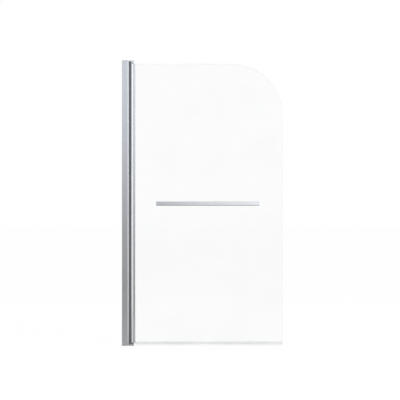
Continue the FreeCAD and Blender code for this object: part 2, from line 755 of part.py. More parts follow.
def towel_rail():
    """Rectangular tube along the glass."""
    body = new_body("towel_rail", x="rail_x", y="-rail_back - rail_depth/2", z="rail_z")
    outer = chamfered_box("-rail_depth/2", "-rail_height/2", "rail_depth/2", "rail_height/2",
                          "rail_corner")
    inner = box("-rail_depth/2 + rail_wall", "-rail_height/2 + rail_wall",
                "rail_depth/2 - rail_wall", "rail_height/2 - rail_wall")
    section = draw(body, "rail_section", "YZ_Plane", [outer, inner], offset=("0", "0", "-rail_end"))
    extrude(body, "Pad", "rail_tube", section, "2*rail_end")
    hole = draw(body, "rail_hole_circle", "XZ_Plane", [("-rail_pitch/2", "0", "bolt_hole")],
                offset=("0", "0", "-rail_depth/2 + rail_wall"))
    first = extrude(body, "Pocket", "first_rail_hole", hole, "rail_wall")
    repeat(body, "rail_holes", [first], "X_Axis", "rail_pitch")
    return body


def rail_end_caps():
    """Flat cover on each end of the rail, with a plug inside the tube."""
    body = new_body("rail_end_caps", x="rail_x", y="-rail_back - rail_depth/2", z="rail_z")
    cover = draw(body, "rail_cover_outline", "YZ_Plane", [chamfered_box(
        "-rail_depth/2", "-rail_height/2", "rail_depth/2", "rail_height/2", "rail_corner")],
        offset=("0", "0", "rail_end"))
    plate = extrude(body, "Pad", "rail_cover", cover, "rail_wall")
    inset = "(rail_wall + rail_plug_clearance)"
    plug = draw(body, "rail_plug_outline", "YZ_Plane", [box(
        f"-rail_depth/2 + {inset}", f"-rail_height/2 + {inset}",
        f"rail_depth/2 - {inset}", f"rail_height/2 - {inset}")], offset=("0", "0", "rail_end"))
    block = extrude(body, "Pad", "rail_plug_block", plug, "rail_plug", back=True)
    mirror(body, "other_rail_cover", [plate, block], "YZ_Plane")
    return body


def rail_fixing(label, profile):
    """Pair of turned pieces on the towel rail's two fixings, drawn along Y."""
    body = new_body(label, x="rail_x - rail_pitch/2", z="rail_z")
    piece = turned(body, label + "_one", profile, plane="XY_Plane")
    repeat(body, label + "_pair", [piece], "X_Axis", "rail_pitch")
    return body


def rail_standoffs():
    """Round spacers that carry the rail off the glass."""
    return rail_fixing("rail_standoffs", tube(
        "bolt_hole", "standoff_radius", "-rail_back", "-grommet_face"))


def rail_bolts():
    """Bolts with large round heads on the bath side, through the glass and the standoffs into
    the nuts in the rail."""
    head = "grommet_face + bolt_head_height"
    far = "-nut_seat - nut_height - bolt_end"
    return rail_fixing("rail_bolts", [
        ("0", far),
        ("bolt_diameter/2", far),
        ("bolt_diameter/2", "grommet_face"),
        ("bolt_head_radius", "grommet_face"),
        ("bolt_head_radius", f"{head} - bolt_head_chamfer"),
        ("bolt_head_radius - bolt_head_chamfer", head),
        ("0", head),
    ])


def rail_grommets():
    """Soft sleeves in the glass's holes, flanged over both faces of the glass."""
    sleeve = "glass_hole/2 - sleeve_clearance"
    return rail_fixing("rail_grommets", [
        ("bolt_hole", "-grommet_face"),
        ("standoff_radius", "-grommet_face"),
        ("standoff_radius", "-glass_thickness/2"),
        (sleeve, "-glass_thickness/2"),
        (sleeve, "glass_thickness/2"),
        ("bolt_head_radius", "glass_thickness/2"),
        ("bolt_head_radius", "grommet_face"),
        ("bolt_hole", "grommet_face"),
    ])


def rail_nuts():
    """Hexagon nuts inside the rail."""
    body = new_body("rail_nuts", x="rail_x - rail_pitch/2", y="-nut_seat", z="rail_z")
    corner = "nut_flats/2/cos(30)"
    hexagon = [(f"{corner}*cos({angle})", f"{corner}*sin({angle})")
               for angle in range(0, 360, 60)]
    sketch = draw(body, "nut_outline", "XZ_Plane",
                  [hexagon, ("0", "0", "bolt_diameter/2 + fixed_fit")])
    nut = extrude(body, "Pad", "nut", sketch, "nut_height")
    repeat(body, "nut_pair", [nut], "X_Axis", "rail_pitch")
    return body


# --- building, checking and writing ------------------------------------------------------------

def build():
    wall_profile()
    pivot_post()
    for end in ENDS:
        wall_end_cap(end)
        hinge_block(end)
        pivot_pin(end)
        pivot_bush(end)
    hinge_block_screws()
    hinge_seal()
    lock_screws()
    lock_screw_caps()
    glass_profile()
    glass_gasket()
    glass_panel()
    bottom_seal()
    towel_rail()
    rail_end_caps()
    rail_standoffs()
    rail_bolts()
    rail_nuts()
    rail_grommets()
    doc.recompute()


def check():
    """Stop where an object failed, a sketch is loose, a cut took nothing or a shape is unsound."""
    for item in doc.Objects:
        if "Invalid" in item.State or "Error" in item.State:
            raise RuntimeError("%s failed: %s" % (item.Name, item.getStatusString()))
        if item.TypeId == "Sketcher::SketchObject" and not item.FullyConstrained:
            raise RuntimeError("%s isn't fully constrained" % item.Name)
        if item.TypeId in ("PartDesign::Pocket", "PartDesign::Groove"):
            if item.Shape.Volume > item.BaseFeature.Shape.Volume - 1e-3:
                raise RuntimeError("%s cuts nothing" % item.Name)
    for body in PIECES:
        if body.Shape.isNull() or not body.Shape.isValid() or body.Shape.Volume <= 0:
            raise RuntimeError("%s has no sound shape" % body.Label)


def write():
    os.makedirs("parts", exist_ok=True)
    for body in PIECES:
        body.Shape.exportStep(os.path.join("parts", body.Label + ".step"))


build()
check()
write()
print("%d sub-parts written" % len(PIECES))
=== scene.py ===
import json
import math

import bmesh
import bpy
from mathutils import Matrix, Vector


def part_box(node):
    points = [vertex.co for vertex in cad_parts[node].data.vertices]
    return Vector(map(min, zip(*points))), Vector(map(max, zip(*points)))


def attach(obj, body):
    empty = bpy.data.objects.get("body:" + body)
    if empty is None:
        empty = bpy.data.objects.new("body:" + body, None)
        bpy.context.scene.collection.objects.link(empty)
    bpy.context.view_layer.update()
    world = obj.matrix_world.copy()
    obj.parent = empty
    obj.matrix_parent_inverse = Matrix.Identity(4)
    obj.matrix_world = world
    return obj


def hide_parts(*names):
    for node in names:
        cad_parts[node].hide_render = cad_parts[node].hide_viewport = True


bl_info = {
    "name": "Pivot Bath Screen",
    "version": (1, 0, 0),
    "blender": (4, 5, 0),
    "location": "3D View > Sidebar > Bath Screen",
    "description": "Dresses the packed bath screen: pane, extrusions, fittings, seals and studio",
    "category": "Object",
}

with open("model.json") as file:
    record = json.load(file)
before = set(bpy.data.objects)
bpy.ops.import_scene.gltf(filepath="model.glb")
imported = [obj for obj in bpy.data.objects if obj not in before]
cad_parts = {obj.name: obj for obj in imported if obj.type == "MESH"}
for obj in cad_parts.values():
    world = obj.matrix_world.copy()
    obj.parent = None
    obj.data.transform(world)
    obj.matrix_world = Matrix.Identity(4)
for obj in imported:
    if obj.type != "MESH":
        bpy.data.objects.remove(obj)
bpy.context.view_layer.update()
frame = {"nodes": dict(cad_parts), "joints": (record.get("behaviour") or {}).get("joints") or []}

# What the solids fix, in metres. Rows are given as count, first and pitch.
AXIS = frame["joints"][1]["pos_m"][0]  # pivot axis, out from the wall
ENDS = (("top", 1), ("bottom", -1))
WALL_HOLES = (4, 0.1, 0.4)
LOCK_SCREWS = (3, 0.2, 0.5)
LOCK_SLOT = 0.0023  # half width of the lock screws' slots
TRAVEL_IN, TRAVEL_OUT = 0.004, 0.012  # slide of the post in the wall channel
PORT_MOUTH = 0.0016  # slit along a screw port
PORT_BITE = 0.0005  # port's round in its wall
PORT_SPREAD = 0.0065  # wall channel's ports, from the middle
PEG_LENGTH = 0.012
FIT = 0.00015  # clearance of the seal's foot and of the spigots
FOOT_DEPTH, FOOT_HALF, FOOT_MOUTH, FOOT_WALL = 0.0024, 0.004, 0.002, 0.0012  # post's slot
HEAD_START = 0.0044  # blocks' heads, in front of the wall channel's caps
PLATE_DROP = 0.0023  # blocks' plates, under their outer faces
SPIGOT = 0.008
THRUST_GAP = 0.0003  # boss to bush
SEAL_BACK, SEAL_GAP = 0.0001, 0.0003  # seal to post and to barrel
SEAL_LIP, SEAL_LIP_ANGLE = 0.0012, 22.0
SEAL_SKIN, SEAL_HOLLOW = 0.0018, 0.0036
SEAL_GROOVES, SEAL_GROOVE = (0.30, 0.55), 0.0006  # shares of the seal's side, and half a width
CHANNEL_BACK = 0.0055  # glass channel's back, in front of the axis
CHANNEL_NECK = 0.0019  # half width of what joins it to the barrel
WIPE_WALL, WIPE_ROOT, FIN_SPREAD = 0.0012, 0.0087, 0.003
FIXING = 0.008  # radius of the rail's standoffs
BOLT, BOLT_BORE, BOLT_FLANGE = 0.003, 0.0032, 0.009  # radii
SOCKET_DEPTH = 0.003
RAIL_PLUG = 0.009

LAP = 0.001  # how far a part runs into its neighbour, or a cutter past what it cuts
ALONG_X = Matrix(((0, 0, 1, 0), (1, 0, 0, 0), (0, 1, 0, 0), (0, 0, 0, 1)))  # lays a prism down


def low(node):
    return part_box(node)[0]


def high(node):
    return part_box(node)[1]


def tip(node, way):
    """Height of a node's upper end, or of its lower end where way is -1."""
    return high(node).z if way > 0 else low(node).z


# --- sizes and colours that a user would change --------------------------------------------------

def length(label, value, text):
    """A size in metres, shown with its unit."""
    return bpy.props.FloatProperty(name=label, default=value, min=0.0, description=text,
                                   subtype="DISTANCE", unit="LENGTH", precision=5)


def colour(label, value, text):
    return bpy.props.FloatVectorProperty(name=label, default=value, min=0.0, max=1.0,
                                         subtype="COLOR", description=text)


def share(label, value, text):
    return bpy.props.FloatProperty(name=label, default=value, min=0.0, max=1.0, subtype="FACTOR",
                                   description=text)


def power(label, value, text):
    return bpy.props.FloatProperty(name=label, default=value, min=0.0, unit="POWER",
                                   description=text)


class BathScreenSizes(bpy.types.PropertyGroup):
    """Sizes of the details that the solids leave out."""

    # pane
    glass_corner: length("Glass Corner", 0.25, "Radius of the pane's free top corner")
    glass_foot: length("Foot Corner", 0.003, "Radius of the pane's free bottom corner")
    glass_arris: length("Ground Edge", 0.0007, "Width of the ground chamfer along the edges")
    glass_hole: length("Glass Hole", 0.006, "Radius of the holes for the rail's bolts")
    # extrusions
    wall_leg: length("Channel Leg", 0.0015, "Wall thickness of the wall channel's legs")
    wall_web: length("Channel Web", 0.002, "Wall thickness of the wall channel's back")
    wall_corner: length("Channel Corner", 0.0012, "Rounding of the wall channel's corners")
    wall_hole: length("Wall Hole", 0.00275, "Radius of the wall fixing holes")
    port_bore: length("Port Bore", 0.0017, "Radius of the screw ports' bore")
    port_wall: length("Port Wall", 0.0011, "Wall thickness of the screw ports")
    post_wall: length("Post Wall", 0.0016, "Wall thickness of the hinge post")
    post_corner: length("Post Corner", 0.0024, "Rounding of the hinge post's front corners")
    barrel_radius: length("Barrel", 0.00576, "Outer radius of the barrel on the glass channel")
    barrel_bore: length("Barrel Bore", 0.00396, "Inner radius of the barrel")
    channel_wall: length("Glass Channel", 0.0018, "Wall thickness of the glass channel")
    channel_corner: length("Glass Channel Corner", 0.0009, "Rounding of the glass channel")
    edge: length("Small Edge", 0.00025, "Rounding of edges that the die leaves sharp")
    rail_corner: length("Rail Corner", 0.0025, "Rounding of the towel rail's corners")
    rail_wall: length("Rail Wall", 0.0015, "Wall thickness of the towel rail")
    # fittings
    block_edge: length("Block Edge", 0.0008, "Rounding round the hinge blocks' outer faces")
    cap_edge: length("Cap Edge", 0.0006, "Rounding round the cover caps' outer faces")
    dome: length("Dome", 0.0011, "Rise of the domes on the screw caps")
    bolt_edge: length("Bolt Edge", 0.0012, "Rounding of the bolts' heads")
    bolt_socket: length("Bolt Socket", 0.0025, "Half width across flats of the bolts' sockets")
    standoff_groove: length("Standoff Groove", 0.0006, "Depth of the turned groove")
    # seals
    seal_edge: length("Seal Edge", 0.0005, "Rounding of the soft strips' edges")
    seal_rib: length("Seal Rib", 0.0003, "Depth of the grooves along the hinge seal")
    fin: length("Fin", 0.0008, "Thickness of the wipe seal's fins")


class BathScreenColours(bpy.types.PropertyGroup):
    """Colours of the finishes."""

    aluminium: colour("Aluminium", (0.80, 0.805, 0.82), "Bright anodised extrusions")
    aluminium_roughness: share("Aluminium Roughness", 0.24, "Blur of what the extrusions mirror")
    # Painted highlight: the glass channel has the same anodised finish as the other extrusions;
    # this lighter colour stands in for the bright card that its barrel reflects.
    bright: colour("Bright Aluminium", (0.90, 0.905, 0.915), "Brighter glass channel")
    bright_roughness: share("Bright Roughness", 0.16, "Blur of what the glass channel mirrors")
    chrome: colour("Chrome", (0.82, 0.825, 0.84), "Polished caps and fittings")
    cast: colour("Cast", (0.56, 0.565, 0.58), "Satin cast hinge blocks")
    steel: colour("Steel", (0.62, 0.62, 0.63), "Pins, screws and nuts")
    seal: colour("Hinge Seal", (0.095, 0.096, 0.105), "Dark rubber between post and barrel")
    nylon: colour("Nylon", (0.045, 0.045, 0.05), "Bushes in the barrel")
    soft: colour("Clear Seal", (0.988, 0.989, 0.994), "Clear strips under and along the glass")
    glass: colour("Glass", (0.963, 0.967, 0.966), "Clear pane, with its faint green")
    ground: colour("Ground Edge", (0.80, 0.94, 0.89), "Ground edge of the pane")
    floor: colour("Floor", (0.96, 0.96, 0.96), "Plain pale floor")


class BathScreenStudio(bpy.types.PropertyGroup):
    """Camera, lamps and cards."""

    camera_distance: length("Camera Distance", 9.0, "Camera to the middle of the glass")
    view_width: length("View Width", 1.9636, "Width that the picture shows at the glass")
    view_x: length("View X", 0.3831, "Middle of the picture, out from the wall")
    view_z: length("View Z", 0.7150, "Middle of the picture, above the underside")
    key: power("Key", 60.0, "Power of the large lamp at the right")
    fill: power("Fill", 25.0, "Power of the lamps at the left and behind")
    ambient: share("Ambient", 0.80, "Level of the light from all round")
    floor_glow: share("Floor Glow", 0.95, "How far the floor shows as plain white")
    ceiling: share("Ceiling", 0.70, "Level of the card that satin metal sees above")
    mat: share("Mat", 0.48, "Level of the mat that satin metal sees below")
    side_mat: share("Side Mat", 0.95, "Level of the brighter mat at the right")
    flag: share("Flag", 0.10, "Level of the dark card under the towel rail")


# --- outlines ------------------------------------------------------------------------------------

def arc(centre, radius, start, end, steps):
    """Points from one angle to another about a centre, in degrees."""
    points = []
    for step in range(steps + 1):
        angle = math.radians(start + (end - start) * step / steps)
        points.append(Vector((centre[0] + radius * math.cos(angle),
                              centre[1] + radius * math.sin(angle))))
    return points


def circle(centre, radius, steps=48):
    return arc(centre, radius, 0, 360, steps)[:-1]


def rounded(corners, steps=6):
    """Closed outline through corners (x, y) or (x, y, radius of its rounding)."""
    points = []
    for index, corner in enumerate(corners):
        here = Vector(corner[:2])
        radius = corner[2] if len(corner) > 2 else 0.0
        if radius <= 0.0:
            points.append(here)
            continue
        back = (Vector(corners[index - 1][:2]) - here).normalized()
        on = (Vector(corners[(index + 1) % len(corners)][:2]) - here).normalized()
        half = back.angle(on) / 2
        centre = here + (back + on).normalized() * (radius / math.sin(half))
        start = here + back * (radius / math.tan(half)) - centre
        end = here + on * (radius / math.tan(half)) - centre
        first = math.degrees(math.atan2(start.y, start.x))
        turn = math.degrees(math.atan2(end.y, end.x)) - first
        turn = (turn + 180.0) % 360.0 - 180.0
        points += arc(centre, radius, first, first + turn, steps)
    return points


def mirrored(corners):
    """Close an outline drawn below the X axis with its mirror image above."""
    return corners + [(corner[0], -corner[1], *corner[2:]) for corner in reversed(corners)]


def oblong(x_low, y_low, x_high, y_high, radius=0.0, steps=6):
    return rounded([(x_low, y_low, radius), (x_high, y_low, radius),
                    (x_high, y_high, radius), (x_low, y_high, radius)], steps)


def screw_port(centre, sizes, away):
    """C-shaped screw port, open towards away, an angle in degrees."""
    bore, outside = sizes.port_bore, sizes.port_bore + sizes.port_wall
    half = math.degrees(math.asin(PORT_MOUTH / 2 / bore))
    outer = math.degrees(math.asin(PORT_MOUTH / 2 / outside))
    return (arc(centre, outside, away + outer, away + 360 - outer, 40)
            + arc(centre, bore, away + 360 - half, away + half, 30))


def wall_ports(sizes):
    """Centres of the screw ports on the wall channel's web."""
    out = sizes.wall_web + sizes.port_bore + sizes.port_wall - PORT_BITE
    return [(out, side * PORT_SPREAD) for side in (-1, 1)]


def post_port(sizes):
    """Centre of the screw port behind the slot in the post's front."""
    slot = high("pivot_post").x - sizes.post_wall - FOOT_DEPTH - FOOT_WALL
    return (slot - sizes.port_bore - sizes.port_wall + PORT_BITE, 0.0)


# --- meshes --------------------------------------------------------------------------------------

def mesh_object(name, spots, edges, faces):
    mesh = bpy.data.meshes.new(name)
    mesh.from_pydata(spots, edges, faces)
    return linked(name, mesh)


def linked(name, data):
    """Object in the scene, of a mesh, lamp or camera."""
    piece = bpy.data.objects.new(name, data)
    bpy.context.scene.collection.objects.link(piece)
    return piece


def prism(name, points, one, other, edge=0.0, segments=3):
    """Upright prism over an outline, between two heights, with its end edges rounded."""
    count = len(points)
    spots = [(x, y, z) for z in sorted((one, other)) for x, y in points]
    faces = [tuple(reversed(range(count))), tuple(range(count, 2 * count))]
    faces += [(index, (index + 1) % count, count + (index + 1) % count, count + index)
              for index in range(count)]
    piece = mesh_object(name, spots, [], faces)
    if edge:
        rounding = piece.modifiers.new("Rounding", "BEVEL")
        rounding.width = edge
        rounding.segments = segments
        rounding.limit_method = "ANGLE"
        rounding.angle_limit = math.radians(60.0)
    return piece


def turned(name, profile, steps=64):
    """Turned part about the Y axis from a closed outline of (radius, distance along Y)."""
    shape = bmesh.new()
    rings = []
    for radius, along in profile:
        count = steps if radius > 1e-7 else 1
        ring = [shape.verts.new((radius * math.cos(angle), along, radius * math.sin(angle)))
                for angle in (2 * math.pi * step / steps for step in range(count))]
        rings.append(ring * (steps // count))
    for ring, following in zip(rings, rings[1:] + rings[:1]):
        for step in range(steps):
            on = (step + 1) % steps
            face = list(dict.fromkeys((ring[step], following[step], following[on], ring[on])))
            if len(face) > 2:
                shape.faces.new(face)
    bmesh.ops.remove_doubles(shape, verts=shape.verts, dist=1e-7)
    return linked(name, outwards(name, shape))


def outwards(name, shape):
    """Mesh of a shape, with its faces turned outwards."""
    bmesh.ops.recalc_face_normals(shape, faces=shape.faces)
    mesh = bpy.data.meshes.new(name)
    shape.to_mesh(mesh)
    shape.free()
    return mesh


def drill(radius, near, far):
    return turned("drill", [(0.0, near), (radius, near), (radius, far), (0.0, far)], 48)


def placed(piece, place, quarters=0, axis="X"):
    """Turn a part about an axis by quarter turns and put it in its place."""
    piece.data.transform(Matrix.Translation(place)
                         @ Matrix.Rotation(math.radians(90 * quarters), 4, axis))
    return piece


def complete(name, parts, material, body, node, sharp=30.0, cuts=()):
    """Dress a node with one plain mesh of its parts, smooth but for edges over an angle, with
    normals weighted by face area, which keep flat faces flat where they meet roundings. Cuts go
    through the first part: a cutter where the first hole is, the holes' count and their pitch."""
    for cutter, count, pitch in cuts:
        run_tree(parts[0], "Row of cuts", material, cutter=cutter, count=count, pitch=pitch)
    shape = bmesh.new()
    graph = bpy.context.evaluated_depsgraph_get()
    for part in parts:
        mesh = bpy.data.meshes.new_from_object(part.evaluated_get(graph))
        shape.from_mesh(mesh)
        bpy.data.meshes.remove(mesh)
    for part in (*parts, *(cut[0] for cut in cuts)):
        bpy.data.objects.remove(part)
    rough = bpy.data.meshes.new("rough")
    shape.to_mesh(rough)
    shape.free()
    rough.materials.append(finish(material))
    rough.shade_smooth()
    rough.set_sharp_from_angle(angle=math.radians(sharp))
    piece = linked(name, rough)
    weights = piece.modifiers.new("Even", "WEIGHTED_NORMAL")
    weights.keep_sharp = True
    weights.weight = 100
    graph = bpy.context.evaluated_depsgraph_get()
    piece.data = bpy.data.meshes.new_from_object(piece.evaluated_get(graph))
    piece.data.name = name
    piece.modifiers.clear()
    bpy.data.meshes.remove(rough)
    dress(piece, body, node)


def dress(piece, body, node):
    """Put a finished piece on its body, in place of its node."""
    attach(piece, body)
    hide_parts(node)


# --- nodes ---------------------------------------------------------------------------------------

def feed(node, inputs):
    """Set a node's inputs, by name or number, to plain values, sockets or nodes' first sockets."""
    for name, value in inputs.items():
        if isinstance(value, bpy.types.Node):
            value = value.outputs[0]
        if isinstance(value, bpy.types.NodeSocket):
            node.id_data.links.new(value, node.inputs[name])
        else:
            node.inputs[name].default_value = value
    return node


def add(tree, kind, inputs=None, **settings):
    """New node with its settings and inputs."""
    node = tree.nodes.new(kind)
    for name, value in settings.items():
        setattr(node, name, value)
    return feed(node, inputs or {})


def section_nodes(tree, given):
    """Fills the section's loops, draws them out along their Z, then turns and places the result."""
    curve = add(tree, "GeometryNodeMeshToCurve", {"Mesh": given["Geometry"]})
    fill = add(tree, "GeometryNodeFillCurve", {"Curve": curve}, mode="TRIANGLES")
    way = add(tree, "FunctionNodeInputVector", vector=(0.0, 0.0, 1.0))
    drawn = add(tree, "GeometryNodeExtrudeMesh", {
        "Mesh": fill, "Offset": way, "Offset Scale": given["Length"], "Individual": False},
        mode="FACES")
    join = add(tree, "GeometryNodeJoinGeometry", {0: drawn})
    feed(join, {0: add(tree, "GeometryNodeFlipFaces", {"Mesh": fill})})
    merge = add(tree, "GeometryNodeMergeByDistance", {"Geometry": join, "Distance": 1e-6})
    return add(tree, "GeometryNodeTransform", {
        "Geometry": merge, "Rotation": given["Turn"], "Translation": given["Place"]})


def row_nodes(tree, given):
    """Repeats a piece, a pitch apart."""
    line = add(tree, "GeometryNodeMeshLine", {
        "Count": given["Count"], "Start Location": given["First"], "Offset": given["Pitch"]})
    return add(tree, "GeometryNodeInstanceOnPoints", {
        "Points": line, "Instance": given["Geometry"]})


def cut_nodes(tree, given):
    """Cuts with a repeated cutter, a pitch apart."""
    line = add(tree, "GeometryNodeMeshLine", {"Count": given["Count"], "Offset": given["Pitch"]})
    cutter = add(tree, "GeometryNodeObjectInfo", {"Object": given["Cutter"]})
    copies = add(tree, "GeometryNodeInstanceOnPoints", {
        "Points": line, "Instance": cutter.outputs["Geometry"]})
    real = add(tree, "GeometryNodeRealizeInstances", {0: copies})
    return add(tree, "GeometryNodeMeshBoolean", {"Mesh 1": given["Geometry"], "Mesh 2": real},
               operation="DIFFERENCE", solver="EXACT")


TREES = {
    "Extruded section": (section_nodes, {
        "Length": "Float", "Turn": "Rotation", "Place": "Vector"}),
    "Row of pieces": (row_nodes, {"Count": "Int", "First": "Vector", "Pitch": "Vector"}),
    "Row of cuts": (cut_nodes, {"Cutter": "Object", "Count": "Int", "Pitch": "Vector"}),
}


def run_tree(piece, name, material, **values):
    """Put a tree on a piece, with its inputs set by name; it is built on its first use."""
    values = {label.capitalize(): value for label, value in values.items()}
    values["Material"] = finish(material)
    tree = bpy.data.node_groups.get(name)
    if tree is None:
        build, inputs = TREES[name]
        tree = bpy.data.node_groups.new(name, "GeometryNodeTree")
        for label, kind in {"Geometry": "Geometry", **inputs, "Material": "Material"}.items():
            tree.interface.new_socket(name=label, in_out="INPUT", socket_type="NodeSocket" + kind)
        tree.interface.new_socket(name="Geometry", in_out="OUTPUT",
                                  socket_type="NodeSocketGeometry")
        given = add(tree, "NodeGroupInput").outputs
        real = add(tree, "GeometryNodeRealizeInstances", {0: build(tree, given)})
        paint = add(tree, "GeometryNodeSetMaterial", {
            "Geometry": real, "Material": given["Material"]})
        add(tree, "NodeGroupOutput", {0: paint})
    modifier = piece.modifiers.new(name, "NODES")
    modifier.node_group = tree
    for item in tree.interface.items_tree:
        if item.in_out == "INPUT" and item.name in values:
            modifier[item.identifier] = values[item.name]
    return piece


def extrude(name, sections, material, body, node, sharp=30.0, cuts=(), lying=False):
    """Dress a node with sections drawn out upright, or along X, as long as the node is. A section
    is a list of loops, the outer one first."""
    start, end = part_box(node)
    if lying:
        size, place, turn = end.x - start.x, (start.x, 0.0, 0.0), ALONG_X.to_euler()
    else:
        size, place, turn = end.z - start.z, (0.0, 0.0, start.z), (0.0, 0.0, 0.0)
    parts = []
    for loops in sections:
        spots, edges = [], []
        for loop in loops:
            first, count = len(spots), len(loop)
            spots += [(x, y, 0.0) for x, y in loop]
            edges += [(first + index, first + (index + 1) % count) for index in range(count)]
        parts.append(run_tree(mesh_object("section", spots, edges, []), "Extruded section",
                              material, length=size, turn=turn, place=place))
    complete(name, parts, material, body, node, sharp, cuts)


def maths(tree, operation, first, second):
    return add(tree, "ShaderNodeMath", {0: first, 1: second}, operation=operation)


def mixed(tree, source, first, second):
    """First shader where the source is 0, and second where it is 1."""
    return add(tree, "ShaderNodeMixShader", {0: source, 1: first, 2: second})


def between(tree, source, first, second):
    """Value from first to second as the source runs from 0 to 1."""
    return add(tree, "ShaderNodeMapRange", {"Value": source, "To Min": first, "To Max": second})


def tinted(tree, source, first, second):
    """Colour from first to second as the source runs from 0 to 1."""
    return add(tree, "ShaderNodeMix", {0: source, 6: (*first, 1.0), 7: (*second, 1.0)},
               data_type="RGBA").outputs[2]


def bumped(tree, source, strength, distance):
    return add(tree, "ShaderNodeBump", {
        "Strength": strength, "Distance": distance, "Height": source})


def shaded(tint, amount):
    return tuple(min(part * amount, 1.0) for part in tint)


# Shared effects, from noise: name and default of the one input, name of the output, settings of
# the noise, and the levels of it that become 0 and 1. A stretch is small along the drawn lines; a
# size is in patches or grains to the metre.
EFFECTS = {
    "Drawn lines": ("Stretch", (1500.0, 1500.0, 4.0), "Lines",
                    {"Scale": 1.0, "Detail": 4.0, "Roughness": 0.6}, (0.3, 0.7)),
    "Handling": ("Size", 14.0, "Patches", {"Detail": 3.0, "Distortion": 0.6}, (0.42, 0.68)),
    "Moulded grain": ("Size", 2200.0, "Grain", {"Detail": 2.0}, None),
}


def effect(tree, name, value):
    """Output of a shared effect with its input set; its node group is built on its first use."""
    label, default, output, settings, levels = EFFECTS[name]
    group = bpy.data.node_groups.get(name)
    if group is None:
        group = bpy.data.node_groups.new(name, "ShaderNodeTree")
        kind = "NodeSocketVector" if label == "Stretch" else "NodeSocketFloat"
        group.interface.new_socket(name=label, in_out="INPUT",
                                   socket_type=kind).default_value = default
        group.interface.new_socket(name=output, in_out="OUTPUT", socket_type="NodeSocketFloat")
        given = add(group, "NodeGroupInput").outputs[0]
        place = add(group, "ShaderNodeTexCoord").outputs["Object"]
        if label == "Stretch":
            place = add(group, "ShaderNodeVectorMath", {0: place, 1: given}, operation="MULTIPLY")
        else:
            settings = {"Scale": given, **settings}
        level = add(group, "ShaderNodeTexNoise", {"Vector": place, **settings})
        if levels:
            level = add(group, "ShaderNodeMapRange", {
                "Value": level, "From Min": levels[0], "From Max": levels[1]})
        add(group, "NodeGroupOutput", {0: level})
    return add(tree, "ShaderNodeGroup", {label: value}, node_tree=group).outputs[output]


# --- finishes ------------------------------------------------------------------------------------

def principled(tree, inputs):
    return add(tree, "ShaderNodeBsdfPrincipled", inputs)


def extruded(tree, tint, blur, stretch):
    """Bright anodised aluminium with fine lines along the extrusion."""
    lines = effect(tree, "Drawn lines", stretch)
    patches = effect(tree, "Handling", 9.0)
    return principled(tree, {
        "Metallic": 1.0,
        "Base Color": tinted(tree, lines, shaded(tint, 0.985), shaded(tint, 1.01)),
        "Roughness": maths(tree, "ADD", between(tree, lines, blur - 0.015, blur + 0.02),
                           between(tree, patches, 0.0, 0.03)),
        "Normal": bumped(tree, lines, strength=0.05, distance=0.00003)})


def plated(tree, tint, blur, size):
    """Plated or plain metal, even but for handling."""
    patches = effect(tree, "Handling", size)
    return principled(tree, {
        "Metallic": 1.0,
        "Base Color": tinted(tree, patches, tint, shaded(tint, 0.96)),
        "Roughness": between(tree, patches, blur, blur + 0.06)})


def moulded(tree, tint, blur, size):
    """Rubber or nylon with its moulded grain."""
    grain = effect(tree, "Moulded grain", size)
    patches = effect(tree, "Handling", 12.0)
    return principled(tree, {
        "Base Color": tinted(tree, grain, shaded(tint, 0.8), shaded(tint, 1.2)),
        "Roughness": between(tree, patches, blur, blur + 0.12),
        "Normal": bumped(tree, grain, strength=0.25, distance=0.0001)})


def see_through(tree, tint, blur, spread, clear, bend, grain):
    """Clear material that lets the lamps' light through; polished where blur and spread are 0."""
    patches = effect(tree, "Handling", 6.0)
    shader = principled(tree, {
        "Transmission Weight": clear, "IOR": bend, "Roughness": blur,
        "Base Color": tinted(tree, patches, tint, shaded(tint, 0.985))})
    if spread:
        feed(shader, {"Roughness": between(tree, patches, blur, blur + spread)})
    if grain:
        grains = effect(tree, "Moulded grain", 1500.0)
        feed(shader, {"Normal": bumped(tree, grains, strength=grain, distance=0.0001)})
    open_way = add(tree, "ShaderNodeBsdfTransparent", {"Color": (*shaded(tint, 0.96), 1.0)})
    shadow = add(tree, "ShaderNodeLightPath").outputs["Is Shadow Ray"]
    return mixed(tree, shadow, shader, open_way)


# Builder, colour, blur or the property that holds it, and the builder's own values.
FINISHES = {
    "Aluminium upright": (extruded, "aluminium", "aluminium_roughness", (1800.0, 1800.0, 3.0)),
    # Painted highlight: the glass channel's finish is the extrusions' own, with a lighter colour
    # painted on.
    "Aluminium bright": (extruded, "bright", "bright_roughness", (1800.0, 1800.0, 3.0)),
    "Aluminium lying": (extruded, "aluminium", "aluminium_roughness", (3.0, 1800.0, 1800.0)),
    "Chrome": (plated, "chrome", 0.10, 30.0),
    "Cast": (plated, "cast", 0.20, 40.0),
    "Steel": (plated, "steel", 0.24, 60.0),
    "Rubber": (moulded, "seal", 0.5, 1800.0),
    "Nylon": (moulded, "nylon", 0.42, 2600.0),
    "Clear glass": (see_through, "glass", 0.0, 0.0, 1.0, 1.5, 0.0),
    "Ground edge": (see_through, "ground", 0.25, 0.1, 0.9, 1.5, 0.15),
    "Clear seal": (see_through, "soft", 0.12, 0.08, 0.95, 1.46, 0.2),
}


def new_material(name, build):
    """Material whose surface is what build adds to its tree."""
    material = bpy.data.materials.new(name)
    material.use_nodes = True
    material.node_tree.nodes.clear()
    add(material.node_tree, "ShaderNodeOutputMaterial", {"Surface": build(material.node_tree)})
    return material


def finish(name):
    """Material of a finish, made on its first use."""
    if name in bpy.data.materials:
        return bpy.data.materials[name]
    build, tint, blur, *values = FINISHES[name]
    colours = bpy.context.scene.bath_screen_colours
    if isinstance(blur, str):
        blur = getattr(colours, blur)
    return new_material(name, lambda tree: build(tree, getattr(colours, tint), blur, *values))


# --- operators -----------------------------------------------------------------------------------

def rail_pair(radius=FIXING):
    """Place of the towel rail's first fixing, and the pitch to the second."""
    start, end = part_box("rail_standoffs")
    return ((start.x + radius, 0.0, (start.z + end.z) / 2),
            (end.x - start.x - 2 * radius, 0.0, 0.0))


